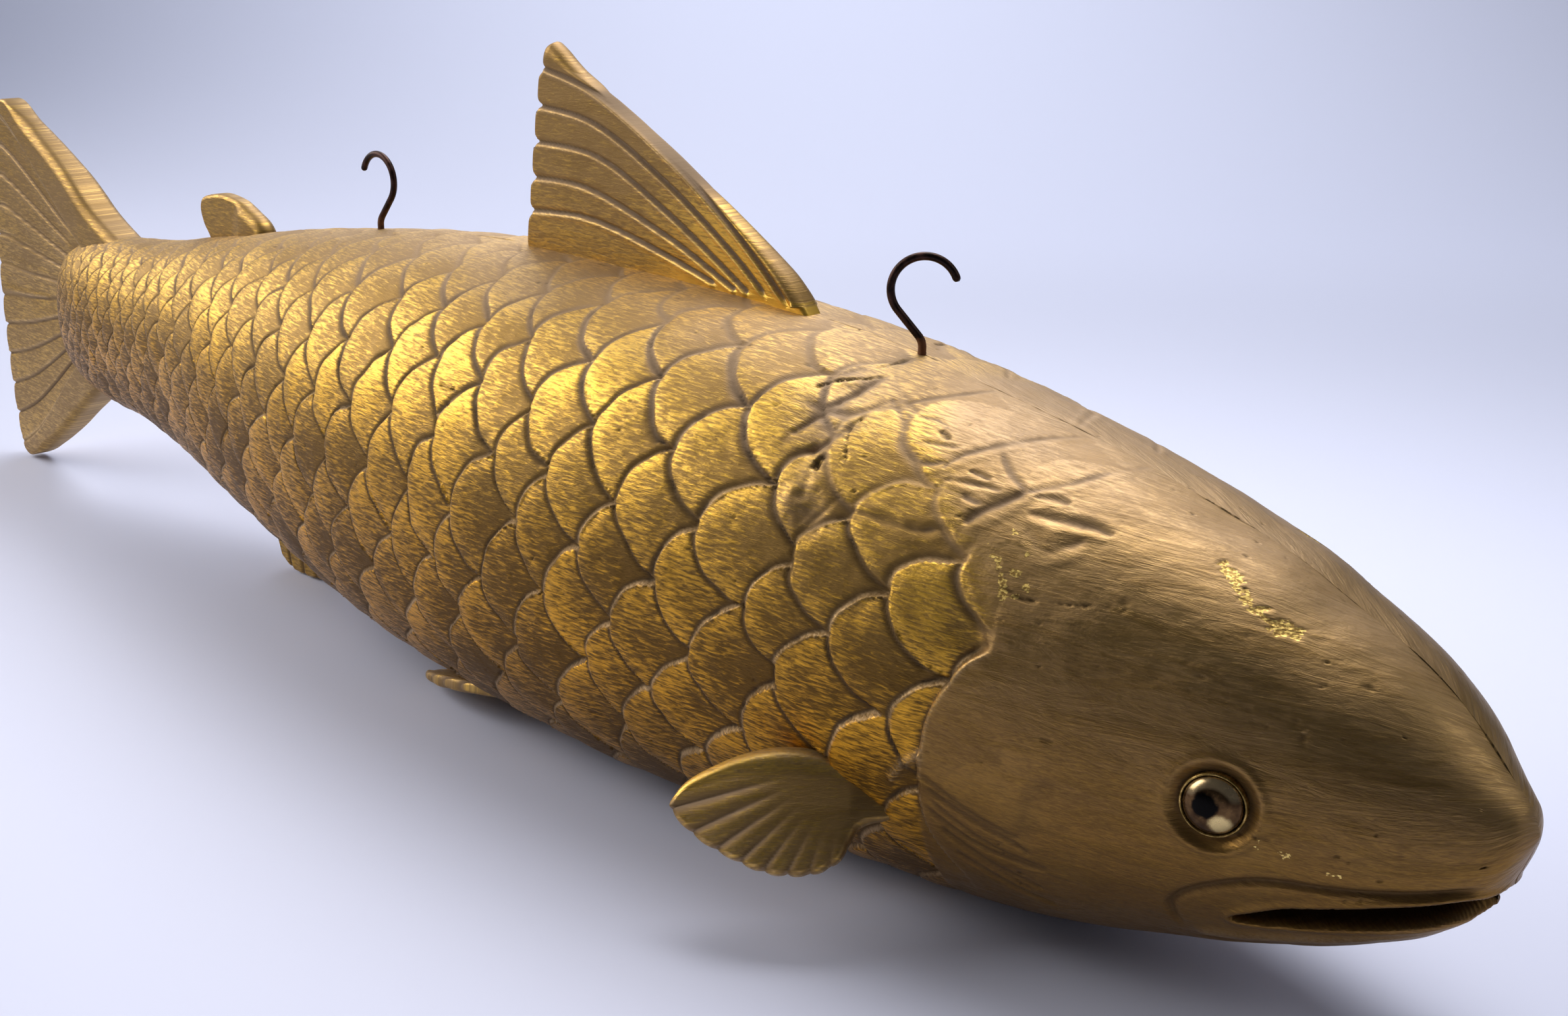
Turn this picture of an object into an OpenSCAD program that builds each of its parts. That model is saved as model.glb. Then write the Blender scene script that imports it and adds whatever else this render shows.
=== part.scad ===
// Carved and gilded hanging fish, built up from boards round a full-length centre board.
// +X points to the snout, +Z up; the origin is under the middle of the fish, on the ground.
// Places along the fish are distances back from the snout, turned into X by at().

/* [Fish] */
// Length from the snout to the rear edge of the tail
length = 1220; // [1150:10:1300]
// Greatest width of the body
body_width = 227; // [210:1:240]
// Squareness of the body's section, where 2 is an ellipse
section_power = 2.2; // [2:0.1:2.6]

/* [Boards] */
// Thickness of the centre board
spine_thick = 30; // [28:1:36]
// Thickness of each inner plank
plank_thick = 45; // [40:1:48]
// Distance of the head joint from the snout
head_joint = 303; // [302:1:306]
// Distance of the tail joint from the snout
tail_joint = 1010; // [1004:1:1014]

/* [Fins] */
// Thickness of the dorsal fin's web
dorsal_web = 12; // [10:1:16]
// Thickness of the tail fin's web
tail_web = 11; // [10:1:14]
// Thickness of the adipose fin
adipose_thick = 16; // [12:1:20]
// Thickness of the anal fin
anal_thick = 12; // [10:1:16]
// Thickness of the pectoral fins
pectoral_thick = 8; // [7:0.5:10]
// Thickness of the pelvic fins
pelvic_thick = 7; // [6:0.5:9]

/* [Eyes] */
// Radius of the glass eye
glass_r = 11.5; // [10.5:0.5:12]
// Radius of the socket that is bored in the head
socket_r = 14.5; // [13.5:0.5:15]
// Depth of the socket
socket_depth = 8; // [6:1:10]

/* [Hooks] */
// Diameter of the hook's wire
wire_d = 3.8; // [3:0.1:4.4]
// Radius of the hook's bowl to the middle of the wire
bowl_r = 15; // [13:0.5:18]
// Height of the bowl's centre over the seat
bowl_height = 30.5; // [29:0.5:36]
// Length of the screwed shank below the seat
shank_depth = 40; // [30:1:50]
// Way that the front hook's tip points, turned from +X
front_facing = 40; // [0:5:90]
// Way that the rear hook's tip points, turned from +X
rear_facing = 180; // [150:5:210]

/* [Hidden] */

drawn_length = 1220;
drawn_width = 227;
gilt = "darkgoldenrod";
gilt_light = "goldenrod";
bare_wood = "burlywood";
iron = "#3b2a22";
horn = "#6b4a1e";

// Sections of the body: distance from the snout, top, bottom and half width.
// The lowest ones dip under the ground, so that the belly is planed flat where it rests.
stations = [
    [0, 114, 106, 4], [3, 119, 98, 11], [12, 129, 79, 21], [29, 147, 61, 36], [52, 164, 48, 50],
    [83, 180, 36, 62], [120, 196, 25, 74], [205, 220, 7, 93], [334, 243, -1, 105], [470, 251, -3, 113],
    [625, 250, 8, 106], [772, 234, 37, 85], [887, 215, 63, 63], [960, 202, 74, 50], [1020, 197, 76, 40],
    [1060, 190, 80, 31], [1090, 181, 87, 23], [1108, 171, 97, 17]];
rings_a_station = 2;
ring_sides = 44;

spine_half = spine_thick / 2;
plank_outer = spine_half + plank_thick;
reach = 200;
sky = 400;

// Outlines of the fins: distance from the snout and height.
dorsal_outline = [[360, 232], [360, 248], [392, 271], [445, 302], [500, 331], [530, 348], [543, 358],
    [550, 361], [556, 357], [558, 345], [562, 320], [567, 285], [572, 250], [572, 232]];
dorsal_bar = [[360, 232], [360, 248], [392, 271], [445, 302], [500, 331], [530, 348], [543, 358],
    [550, 361], [556, 357], [556, 345], [520, 325], [472, 297], [424, 266], [392, 240], [388, 232]];
dorsal_top = 361;
dorsal_foot = 232;
tail_outline = [[1010, 80], [1058, 82], [1094, 58], [1126, 36], [1160, 16], [1190, 3], [1204, 3], [1213, 20],
    [1218, 60], [1220, 110], [1218, 160], [1212, 205], [1203, 245], [1195, 272], [1182, 280], [1166, 277],
    [1128, 259], [1085, 236], [1050, 212], [1010, 193]];
tail_bars = [[1010, 193], [1050, 212], [1085, 236], [1128, 259], [1166, 277], [1182, 280], [1195, 272],
    [1150, 243], [1102, 208], [1060, 168], [1060, 112], [1100, 72], [1150, 34], [1196, 5], [1190, 3],
    [1160, 16], [1126, 36], [1094, 58], [1058, 82], [1010, 80]];
tail_tip = 1206;
adipose_outline = [[838, 205], [834, 224], [846, 234], [862, 241], [882, 244], [902, 241], [910, 235],
    [908, 224], [900, 213], [896, 200]];
anal_outline = [[770, 50], [768, 38], [772, 15], [784, 5], [804, 1], [826, 2], [840, 12], [844, 28],
    [840, 48], [840, 62]];

// Outlines of the paired fins, each in its own plane: along the fin and down across it.
pectoral_outline = [[-14, -9], [4, -12], [19, -20], [36, -22], [53, -19], [70, -12], [81, -5], [85, 2],
    [79, 12], [63, 23], [43, 32], [24, 33], [11, 27], [2, 13], [-14, 10]];
pelvic_outline = [[-12, -9], [4, -13], [26, -16], [50, -14], [72, -8], [86, 0], [74, 9], [52, 15],
    [26, 16], [4, 12], [-12, 8]];
pectoral_root = [250, -88, 68];
pectoral_turn = [-54, 4, -141];
pelvic_root = [528, -58, 22];
pelvic_turn = [12, 11, 176];

eye_place = [97, -68, 111];
eye_yaw = 17;

mouth_side = [[-5, 84], [-5, 76], [20, 76], [50, 71], [80, 60], [88, 58], [90, 62], [82, 67],
    [52, 78], [20, 83]];
mouth_plan = [[-5, 0], [8, 0], [20, 10], [50, 32], [92, 46], [92, 90], [-5, 90]];

// Dowels that cross the boards: distance from the snout, height and half length.
cross_dowel_r = 6;
cross_dowels_at = [[150, 140, 40], [235, 175, 60], [235, 70, 60], [380, 175, 80], [380, 75, 80], [540, 180, 80],
    [540, 70, 80], [690, 180, 75], [690, 80, 75], [810, 150, 45], [940, 140, 36]];
head_dowel_r = 8;
head_dowel_half = 35;
head_dowel_y = 38;
head_dowels_z = [75, 170];
fin_dowel_r = 4;
dorsal_dowels_at = [400, 470, 545];
dorsal_dowel_low = 190;
dorsal_dowel_high = 262;
tail_dowels_z = [105, 165];
tail_dowel_half = 40;
adipose_dowel_d = 868;
anal_dowel_d = 805;
paired_dowel_r = 3;
paired_dowel_in = 32;
paired_dowel_out = 22;
glue_gap = 2;

hook_front_d = 300;
hook_rear_d = 713;
front_seat = 238;
rear_seat = 241;
wire_r = wire_d / 2;
wire_sides = 12;
shank_r = wire_r + 0.1;
bore_r = shank_r + 0.05;
bend_turn = 40;
bend_r = 8;
bowl_start = 16;
lean = (bowl_r * cos(bend_turn) - bend_r * (1 - cos(bend_turn))) / sin(bend_turn);
shank_top = bowl_height - (bowl_r + bend_r) * sin(bend_turn) - lean * cos(bend_turn);
shank_point = 6;
shank_shoulder = 2;
washer_r = 5;
washer_thick = 1.4;
washer_hole_r = shank_r + 0.3;
washer_sink = 1;

function at(d) = (length / 2) - d * length / drawn_length;

// Smooth curve through a list of points: u runs from 0 to the last point's number.
function blend4(a, b, c, e, t) = 0.5 * (2 * b + (c - a) * t + (2 * a - 5 * b + 4 * c - e) * t * t
    + (3 * b - a - 3 * c + e) * t * t * t);
function nth(list, i) = list[max(0, min(len(list) - 1, i))];
function along(list, u) = let (i = min(floor(u), len(list) - 2))
    blend4(nth(list, i - 1), nth(list, i), nth(list, i + 1), nth(list, i + 2), u - i);

// Signed power, which squares up the round section.
function bulge(v) = sign(v) * pow(abs(v), 2 / section_power);

function section(s) = [for (k = [0:ring_sides - 1]) let (a = 360 * k / ring_sides)
    [at(s[0]), s[3] * body_width / drawn_width * bulge(cos(a)),
        (s[1] + s[2]) / 2 + (s[1] - s[2]) / 2 * bulge(sin(a))]];

// The whole carved outside, from the snout to the root of the tail.
module carved_outside() {
    last = (len(stations) - 1) * rings_a_station;
    points = [for (r = [0:last]) each section(along(stations, r / rings_a_station))];
    sides = [for (r = [0:last - 1]) for (k = [0:ring_sides - 1])
        let (n = (k + 1) % ring_sides, a = r * ring_sides, b = a + ring_sides)
        each [[a + k, a + n, b + n], [a + k, b + n, b + k]]];
    front_cap = [[for (k = [ring_sides - 1:-1:0]) k]];
    rear_cap = [[for (k = [0:ring_sides - 1]) last * ring_sides + k]];
    polyhedron(points = points, faces = concat(sides, front_cap, rear_cap), convexity = 4);
}

// The part of the carved outside between two widths and two distances, over the ground.
module carved_board(y_from, y_to, d_from, d_to) {
    intersection() {
        carved_outside();
        translate([at(d_to), y_from, 0]) cube([at(d_from) - at(d_to), y_to - y_from, sky]);
    }
}

// A flat board in the middle plane, from its outline in distance and height.
module board(outline, thick) {
    rotate([90, 0, 0]) translate([0, 0, -thick / 2]) linear_extrude(thick)
        polygon([for (p = outline) [at(p[0]), p[1]]]);
}

// A dowel across the fish, between two widths.
module cross_pin(d, z, y_from, y_to, r) {
    translate([at(d), y_from, z]) rotate([-90, 0, 0]) cylinder(r = r, h = y_to - y_from, $fn = 32);
}

module cross_pins(longer) {
    for (p = cross_dowels_at) cross_pin(p[0], p[1], -p[2] - longer, p[2] + longer, cross_dowel_r);
}

module head_pins(longer) {
    for (side = [-1, 1]) for (z = head_dowels_z)
        translate([at(head_joint) - head_dowel_half - longer, side * head_dowel_y, z]) rotate([0, 90, 0])
            cylinder(r = head_dowel_r, h = 2 * (head_dowel_half + longer), $fn = 32);
}

module upright_pin(d, z_from, z_to) {
    translate([at(d), 0, z_from]) cylinder(r = fin_dowel_r, h = z_to - z_from, $fn = 32);
}

module dorsal_pins(longer) {
    for (d = dorsal_dowels_at) upright_pin(d, dorsal_dowel_low - longer, dorsal_dowel_high + longer);
}

module tail_pins(longer) {
    for (z = tail_dowels_z) translate([at(tail_joint) - tail_dowel_half - longer, 0, z]) rotate([0, 90, 0])
        cylinder(r = fin_dowel_r, h = 2 * (tail_dowel_half + longer), $fn = 32);
}

module adipose_pin(longer) {
    upright_pin(adipose_dowel_d, 165 - longer, 236 + longer);
}

module anal_pin(longer) {
    upright_pin(anal_dowel_d, 16 - longer, 84 + longer);
}

// The plane of a paired fin on the right side; the left side is its mirror image.
module paired_place(root, turn) {
    translate([at(root[0]), root[1], root[2]]) rotate(turn) children();
}

module paired_fin(outline, thick) {
    translate([0, 0, -thick / 2]) linear_extrude(thick) polygon(outline);
}

module paired_pin(longer) {
    translate([-paired_dowel_in - longer, 0, 0]) rotate([0, 90, 0])
        cylinder(r = paired_dowel_r, h = paired_dowel_in + paired_dowel_out + 2 * longer, $fn = 32);
}

module eye_at() {
    translate([at(eye_place[0]), eye_place[1], eye_place[2]]) rotate([90, 0, eye_yaw]) children();
}

// The mouth is a slot that follows the jaw round, deepest at the snout.
module mouth_slot() {
    intersection() {
        board(mouth_side, 2 * reach);
        for (side = [-1, 1]) linear_extrude(sky)
            polygon([for (p = mouth_plan) [at(p[0]), side * p[1]]]);
    }
}

module hook_bores() {
    for (h = [[hook_front_d, front_seat], [hook_rear_d, rear_seat]]) {
        translate([at(h[0]), 0, h[1] - shank_depth - glue_gap]) cylinder(r = bore_r, h = sky, $fn = 32);
        translate([at(h[0]), 0, h[1] - washer_sink]) cylinder(r = washer_r + 0.1, h = sky, $fn = 48);
    }
}

// Fins that are let into the centre board, without their dowels' bores.
module dorsal_shape() {
    intersection() {
        union() {
            board(dorsal_outline, dorsal_web);
            board(dorsal_bar, spine_thick);
        }
        translate([at(600), 0, 0]) rotate([90, 0, 90]) linear_extrude(400)
            polygon([[-11, dorsal_foot - 1], [11, dorsal_foot - 1], [6, dorsal_top + 1], [-6, dorsal_top + 1]]);
    }
}

module tail_shape() {
    board(tail_outline, tail_web);
    intersection() {
        board(tail_bars, spine_thick);
        linear_extrude(sky) polygon([[at(tail_joint), -spine_half], [at(1070), -spine_half + 1],
            [at(tail_tip), -7], [at(tail_tip), 7], [at(1070), spine_half - 1], [at(tail_joint), spine_half]]);
    }
}

module adipose_shape() {
    board(adipose_outline, adipose_thick);
}

module anal_shape() {
    board(anal_outline, anal_thick);
}

module head_cheek() {
    difference() {
        carved_board(-reach, -spine_half, -1, head_joint);
        cross_pins(glue_gap);
        head_pins(glue_gap);
        mouth_slot();
        eye_at() translate([0, 0, -socket_depth]) cylinder(r = socket_r, h = 40, $fn = 64);
        paired_place(pectoral_root, pectoral_turn) paired_fin(pectoral_outline, pectoral_thick);
        paired_place(pectoral_root, pectoral_turn) paired_pin(glue_gap);
    }
}

module inner_plank() {
    difference() {
        carved_board(-plank_outer, -spine_half, head_joint, drawn_length);
        cross_pins(glue_gap);
        head_pins(glue_gap);
        paired_place(pelvic_root, pelvic_turn) paired_fin(pelvic_outline, pelvic_thick);
        paired_place(pelvic_root, pelvic_turn) paired_pin(glue_gap);
    }
}

module outer_plank() {
    difference() {
        carved_board(-reach, -plank_outer, head_joint, drawn_length);
        cross_pins(glue_gap);
        paired_place(pelvic_root, pelvic_turn) paired_fin(pelvic_outline, pelvic_thick);
        paired_place(pelvic_root, pelvic_turn) paired_pin(glue_gap);
    }
}

module pectoral_fin() {
    paired_place(pectoral_root, pectoral_turn) difference() {
        paired_fin(pectoral_outline, pectoral_thick);
        paired_pin(0);
    }
}

module pelvic_fin() {
    paired_place(pelvic_root, pelvic_turn) difference() {
        paired_fin(pelvic_outline, pelvic_thick);
        paired_pin(0);
    }
}

// Raised bead round the glass, turned in one piece with the socket's lining.
module eye_ring() {
    bead = [for (a = [0:15:180]) [(glass_r + socket_r) / 2 + (socket_r - glass_r) / 2 * cos(a), 0.5 + 2 * sin(a)]];
    eye_at() rotate_extrude($fn = 64)
        polygon(concat([[glass_r, -socket_depth], [socket_r, -socket_depth]], bead));
}

// Domed glass with a flat back.
module eye_glass() {
    dome = [for (a = [0:10:90]) [glass_r * cos(a), -2 + 5.5 * sin(a)]];
    eye_at() rotate_extrude($fn = 64) polygon(concat([[0, -socket_depth], [glass_r, -socket_depth]], dome));
}

// Middle line of the bent wire, from the tip over the bowl and down to the shank: place and heading.
hook_path = concat(
    [for (a = [bowl_start:8.5:180 + bend_turn]) [bowl_r * cos(a), bowl_height + bowl_r * sin(a), a + 90]],
    [for (a = [bend_turn:-8:0]) [bend_r * (cos(a) - 1), shank_top + bend_r * sin(a), a - 90]],
    [[0, 0, -90]]);

function wire_ring(p) = [for (k = [0:wire_sides - 1]) let (a = 360 * k / wire_sides)
    [p[0] + wire_r * cos(a) * sin(p[2]), wire_r * sin(a), p[1] - wire_r * cos(a) * cos(p[2])]];

module bent_wire() {
    last = len(hook_path) - 1;
    sides = [for (r = [0:last - 1]) for (k = [0:wire_sides - 1])
        let (n = (k + 1) % wire_sides, a = r * wire_sides, b = a + wire_sides)
        each [[a + n, a + k, b + k], [a + n, b + k, b + n]]];
    tip_cap = [[for (k = [0:wire_sides - 1]) k]];
    shank_cap = [[for (k = [wire_sides - 1:-1:0]) last * wire_sides + k]];
    polyhedron(points = [for (p = hook_path) each wire_ring(p)], faces = concat(sides, tip_cap, shank_cap));
}

// Screw hook standing on its seat, with its tip on the +X side.
module screw_hook() {
    bent_wire();
    rotate_extrude($fn = 32) polygon([[0, -shank_depth], [0.4, -shank_depth], [shank_r, shank_point - shank_depth],
        [shank_r, shank_shoulder], [0, shank_shoulder]]);
}

module washer(d, seat) {
    translate([at(d), 0, seat - washer_sink]) difference() {
        cylinder(r = washer_r, h = washer_thick, $fn = 48);
        translate([0, 0, -1]) cylinder(r = washer_hole_r, h = washer_thick + 2, $fn = 32);
    }
}

module spine_board() {
    color(gilt) difference() {
        carved_board(-spine_half, spine_half, -1, tail_joint);
        cross_pins(glue_gap);
        dorsal_shape();
        dorsal_pins(glue_gap);
        tail_pins(glue_gap);
        adipose_shape();
        adipose_pin(glue_gap);
        anal_shape();
        anal_pin(glue_gap);
        mouth_slot();
        hook_bores();
    }
}

module head_cheek_right() {
    color(gilt) head_cheek();
}

module head_cheek_left() {
    color(gilt) mirror([0, 1, 0]) head_cheek();
}

module inner_plank_right() {
    color(gilt) difference() {
        inner_plank();
        dorsal_shape();
        adipose_shape();
    }
}

module inner_plank_left() {
    color(gilt) mirror([0, 1, 0]) difference() {
        inner_plank();
        dorsal_shape();
        adipose_shape();
    }
}

module outer_plank_right() {
    color(gilt) outer_plank();
}

module outer_plank_left() {
    color(gilt) mirror([0, 1, 0]) outer_plank();
}

module cross_dowels() {
    color(bare_wood) cross_pins(0);
}

module head_dowels() {
    color(bare_wood) head_pins(0);
}

module dorsal_fin() {
    color(gilt_light) difference() {
        dorsal_shape();
        dorsal_pins(glue_gap);
    }
}

module dorsal_dowels() {
    color(bare_wood) dorsal_pins(0);
}

module tail_fin() {
    color(gilt_light) difference() {
        tail_shape();
        tail_pins(glue_gap);
    }
}

module tail_dowels() {
    color(bare_wood) tail_pins(0);
}

module adipose_fin() {
    color(gilt_light) difference() {
        adipose_shape();
        adipose_pin(glue_gap);
    }
}

module adipose_dowel() {
    color(bare_wood) adipose_pin(0);
}

module anal_fin() {
    color(gilt_light) difference() {
        anal_shape();
        anal_pin(glue_gap);
    }
}

module anal_dowel() {
    color(bare_wood) anal_pin(0);
}

module pectoral_fin_right() {
    color(gilt_light) pectoral_fin();
}

module pectoral_fin_left() {
    color(gilt_light) mirror([0, 1, 0]) pectoral_fin();
}

module pectoral_dowels() {
    color(bare_wood) for (m = [0, 1]) mirror([0, m, 0]) paired_place(pectoral_root, pectoral_turn) paired_pin(0);
}

module pelvic_fin_right() {
    color(gilt_light) pelvic_fin();
}

module pelvic_fin_left() {
    color(gilt_light) mirror([0, 1, 0]) pelvic_fin();
}

module pelvic_dowels() {
    color(bare_wood) for (m = [0, 1]) mirror([0, m, 0]) paired_place(pelvic_root, pelvic_turn) paired_pin(0);
}

module eye_ring_right() {
    color(gilt_light) eye_ring();
}

module eye_ring_left() {
    color(gilt_light) mirror([0, 1, 0]) eye_ring();
}

module eye_glass_right() {
    color(horn) eye_glass();
}

module eye_glass_left() {
    color(horn) mirror([0, 1, 0]) eye_glass();
}

module washer_front() {
    color(iron) washer(hook_front_d, front_seat);
}

module washer_rear() {
    color(iron) washer(hook_rear_d, rear_seat);
}

module hook_front() {
    color(iron) translate([at(hook_front_d), 0, front_seat]) rotate([0, 0, front_facing]) screw_hook();
}

module hook_rear() {
    color(iron) translate([at(hook_rear_d), 0, rear_seat]) rotate([0, 0, rear_facing]) screw_hook();
}

spine_board();
head_cheek_right();
head_cheek_left();
inner_plank_right();
inner_plank_left();
outer_plank_right();
outer_plank_left();
cross_dowels();
head_dowels();
dorsal_fin();
dorsal_dowels();
tail_fin();
tail_dowels();
adipose_fin();
adipose_dowel();
anal_fin();
anal_dowel();
pectoral_fin_right();
pectoral_fin_left();
pectoral_dowels();
pelvic_fin_right();
pelvic_fin_left();
pelvic_dowels();
eye_ring_right();
eye_ring_left();
eye_glass_right();
eye_glass_left();
washer_front();
washer_rear();
hook_front();
hook_rear();
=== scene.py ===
# Carved and gilded hanging fish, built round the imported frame.
# Shapes are worked out in millimetres and put into the meshes in metres.
import bpy
import numpy as np
from mathutils import Matrix, Vector


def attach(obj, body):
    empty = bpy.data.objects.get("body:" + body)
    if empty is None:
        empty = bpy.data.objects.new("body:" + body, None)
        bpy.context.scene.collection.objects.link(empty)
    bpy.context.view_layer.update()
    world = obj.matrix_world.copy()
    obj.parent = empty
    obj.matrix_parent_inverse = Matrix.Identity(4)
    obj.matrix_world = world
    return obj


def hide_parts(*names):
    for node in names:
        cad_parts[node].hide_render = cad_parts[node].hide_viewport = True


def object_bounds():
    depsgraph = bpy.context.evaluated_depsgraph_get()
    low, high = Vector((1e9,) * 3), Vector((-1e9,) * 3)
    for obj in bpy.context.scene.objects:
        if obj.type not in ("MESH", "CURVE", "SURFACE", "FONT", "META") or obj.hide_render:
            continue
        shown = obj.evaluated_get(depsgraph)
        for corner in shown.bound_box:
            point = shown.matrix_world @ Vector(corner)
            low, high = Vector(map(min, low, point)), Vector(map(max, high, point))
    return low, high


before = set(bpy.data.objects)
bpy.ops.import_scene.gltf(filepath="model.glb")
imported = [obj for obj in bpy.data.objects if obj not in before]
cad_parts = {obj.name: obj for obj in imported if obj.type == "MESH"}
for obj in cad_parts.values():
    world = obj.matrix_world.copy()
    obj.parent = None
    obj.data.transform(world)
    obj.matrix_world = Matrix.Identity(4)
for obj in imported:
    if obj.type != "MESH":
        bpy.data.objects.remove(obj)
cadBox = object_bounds()
mm = 0.001
snoutX = cadBox[1].x / mm
print("frame loaded")


view = {
    "place": (833.3, -648.0, 433.6),
    "heading": 43.1,        # degrees turned from +Y towards -X
    "down": 17.9,           # degrees below level
    "tilt": 1.05,           # degrees rolled
    "lens": 43.46, "sensor": 36, "nearest": 0.02,
}
# each light: place, what it points at, size, power, color and, if it is narrowed, its spread in degrees
lights = {
    "window": ((-1.60, -0.85, 1.15), (-0.30, 0.05, 0.15), (2.4, 1.6), 19, (1.0, 0.97, 0.93), 110),
    "skylight": ((0.05, 0.42, 1.42), (0.35, 0.05, 0.20), (1.2, 1.2), 5.2, (1.0, 0.98, 0.96), 80),
    "right": ((1.9, 0.9, 1.1), (0.5, 0.0, 0.15), (1.2, 1.0), 1.3, (0.98, 0.98, 1.0), 90),
    "backdrop": ((-1.4, 1.7, 2.1), (-1.1, 2.4, 0.0), (3.2, 1.6), 55, (0.97, 0.98, 1.0)),
}


def makeCamera():
    heading, down, tilt = (np.radians(view[k]) for k in ("heading", "down", "tilt"))
    ahead = Vector((-np.sin(heading) * np.cos(down), np.cos(heading) * np.cos(down), -np.sin(down)))
    level = Vector((np.cos(heading), np.sin(heading), 0))
    upright = level.cross(ahead)
    right = level * np.cos(tilt) + upright * np.sin(tilt)
    up = upright * np.cos(tilt) - level * np.sin(tilt)
    camera = bpy.data.objects.new("camera", bpy.data.cameras.new("camera"))
    turn = Matrix((right, up, -ahead)).transposed().to_4x4()
    camera.matrix_world = Matrix.Translation(Vector(view["place"]) * mm) @ turn
    camera.data.sensor_width = view["sensor"]
    camera.data.lens = view["lens"]
    camera.data.clip_start = view["nearest"]
    bpy.context.collection.objects.link(camera)
    bpy.context.scene.camera = camera


def softLight(name, place, target, size, power, color, spread=180):
    lamp = bpy.data.lights.new(name, "AREA")
    lamp.spread = np.radians(spread)
    lamp.shape = "RECTANGLE"
    lamp.size, lamp.size_y = size
    lamp.energy = power
    lamp.color = color
    holder = bpy.data.objects.new(name, lamp)
    aim = Vector(target) - Vector(place)
    holder.location = place
    holder.rotation_euler = aim.to_track_quat("-Z", "Y").to_euler()
    holder.visible_camera = False
    bpy.context.collection.objects.link(holder)


makeCamera()
for name, values in lights.items():
    softLight(name, *values)
bpy.context.scene.view_settings.view_transform = "Standard"


def smoothCurve(points, u):
    # Catmull-Rom: a cubic through every point, whose slope at each is half the step between its neighbours
    points = np.asarray(points, float)
    last = len(points) - 1
    u = np.clip(np.asarray(u, float), 0, last)
    i = np.minimum(u.astype(int), last - 1)
    t = (u - i)[..., None]
    a, b = points[np.maximum(i - 1, 0)], points[i]
    c, e = points[i + 1], points[np.minimum(i + 2, last)]
    return 0.5 * (2 * b + (c - a) * t + (2 * a - 5 * b + 4 * c - e) * t ** 2
                  + (3 * b - a - 3 * c + e) * t ** 3)


def ease(x):
    # 3x^2 - 2x^3 between 0 and 1, flat outside
    x = np.clip(x, 0, 1)
    return x * x * (3 - 2 * x)


latticeSize = 97


def softNoise(x, y, size, seed):
    # random heights on a square lattice, eased between its corners, from -1 to 1
    lattice = np.random.default_rng(seed).random((latticeSize, latticeSize)) * 2 - 1
    gx, gy = x / size, y / size
    ix, iy = np.floor(gx).astype(int), np.floor(gy).astype(int)
    fx, fy = ease(gx - ix), ease(gy - iy)
    corner = lambda dx, dy: lattice[(ix + dx) % latticeSize, (iy + dy) % latticeSize]
    near = corner(0, 0) * (1 - fx) + corner(1, 0) * fx
    far = corner(0, 1) * (1 - fx) + corner(1, 1) * fx
    return near * (1 - fy) + far * fy


def layeredNoise(x, y, size, seed, layers=3):
    # each layer is half the size and half the height of the one before
    return sum(softNoise(x, y, size / 2 ** k, seed + k) / 2 ** k for k in range(layers)) / 1.6


def scatter(a, b, k):
    # a repeatable random number from 0 to 1 for a pair of whole numbers: the fraction of a large sine
    wave = np.sin(a * 127.1 + b * 311.7 + k * 74.7) * 43758.5453
    return wave - np.floor(wave)


def cellQuads(index):
    # one quad for each cell of a table of point numbers
    return np.stack([index[:-1, :-1], index[1:, :-1], index[1:, 1:], index[:-1, 1:]], -1).reshape(-1, 4)


def gridQuads(rows, columns, start=0):
    return cellQuads(start + np.arange(rows * columns).reshape(rows, columns))


def makeMesh(name, points, quads, rims=(), fields=None, normals=None):
    # a closed mesh from quads and a few many-sided faces, turned so that its volume is positive
    points = np.asarray(points, float).reshape(-1, 3) * mm
    triangles = np.concatenate([quads[:, :3], quads[:, [0, 2, 3]]]
                               + [np.stack([np.full(len(r) - 2, r[0]), r[1:-1], r[2:]], -1) for r in rims])
    a, b, c = (points[triangles[:, k]] for k in range(3))
    if np.einsum("ij,ij->", a, np.cross(b, c)) < 0:
        quads = quads[:, ::-1]
        rims = [r[::-1] for r in rims]
    loops = np.concatenate([quads.ravel()] + [np.asarray(r) for r in rims])
    sizes = np.concatenate([np.full(len(quads), 4)] + [[len(r)] for r in rims])
    mesh = bpy.data.meshes.new(name)
    mesh.vertices.add(len(points))
    mesh.vertices.foreach_set("co", points.ravel())
    mesh.loops.add(len(loops))
    mesh.loops.foreach_set("vertex_index", loops.astype(np.int32))
    mesh.polygons.add(len(sizes))
    mesh.polygons.foreach_set("loop_start", (np.cumsum(sizes) - sizes).astype(np.int32))
    mesh.update(calc_edges=True)
    mesh.validate()
    mesh.shade_smooth()
    for key, values in (fields or {}).items():
        values = np.asarray(values, np.float32)
        kind = "FLOAT" if values.size == len(points) else "FLOAT_VECTOR"
        layer = mesh.attributes.new(key, kind, "POINT")
        layer.data.foreach_set("value" if kind == "FLOAT" else "vector", values.ravel())
    if normals is not None:
        mesh.normals_split_custom_set_from_vertices(np.asarray(normals, float).reshape(-1, 3).tolist())
    piece = bpy.data.objects.new(name, mesh)
    bpy.context.collection.objects.link(piece)
    return piece


def finishPiece(piece, body, material, slot, *nodes):
    piece.data.materials.append(material)
    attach(piece, body)
    if nodes:
        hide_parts(*nodes)
    return piece


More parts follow.
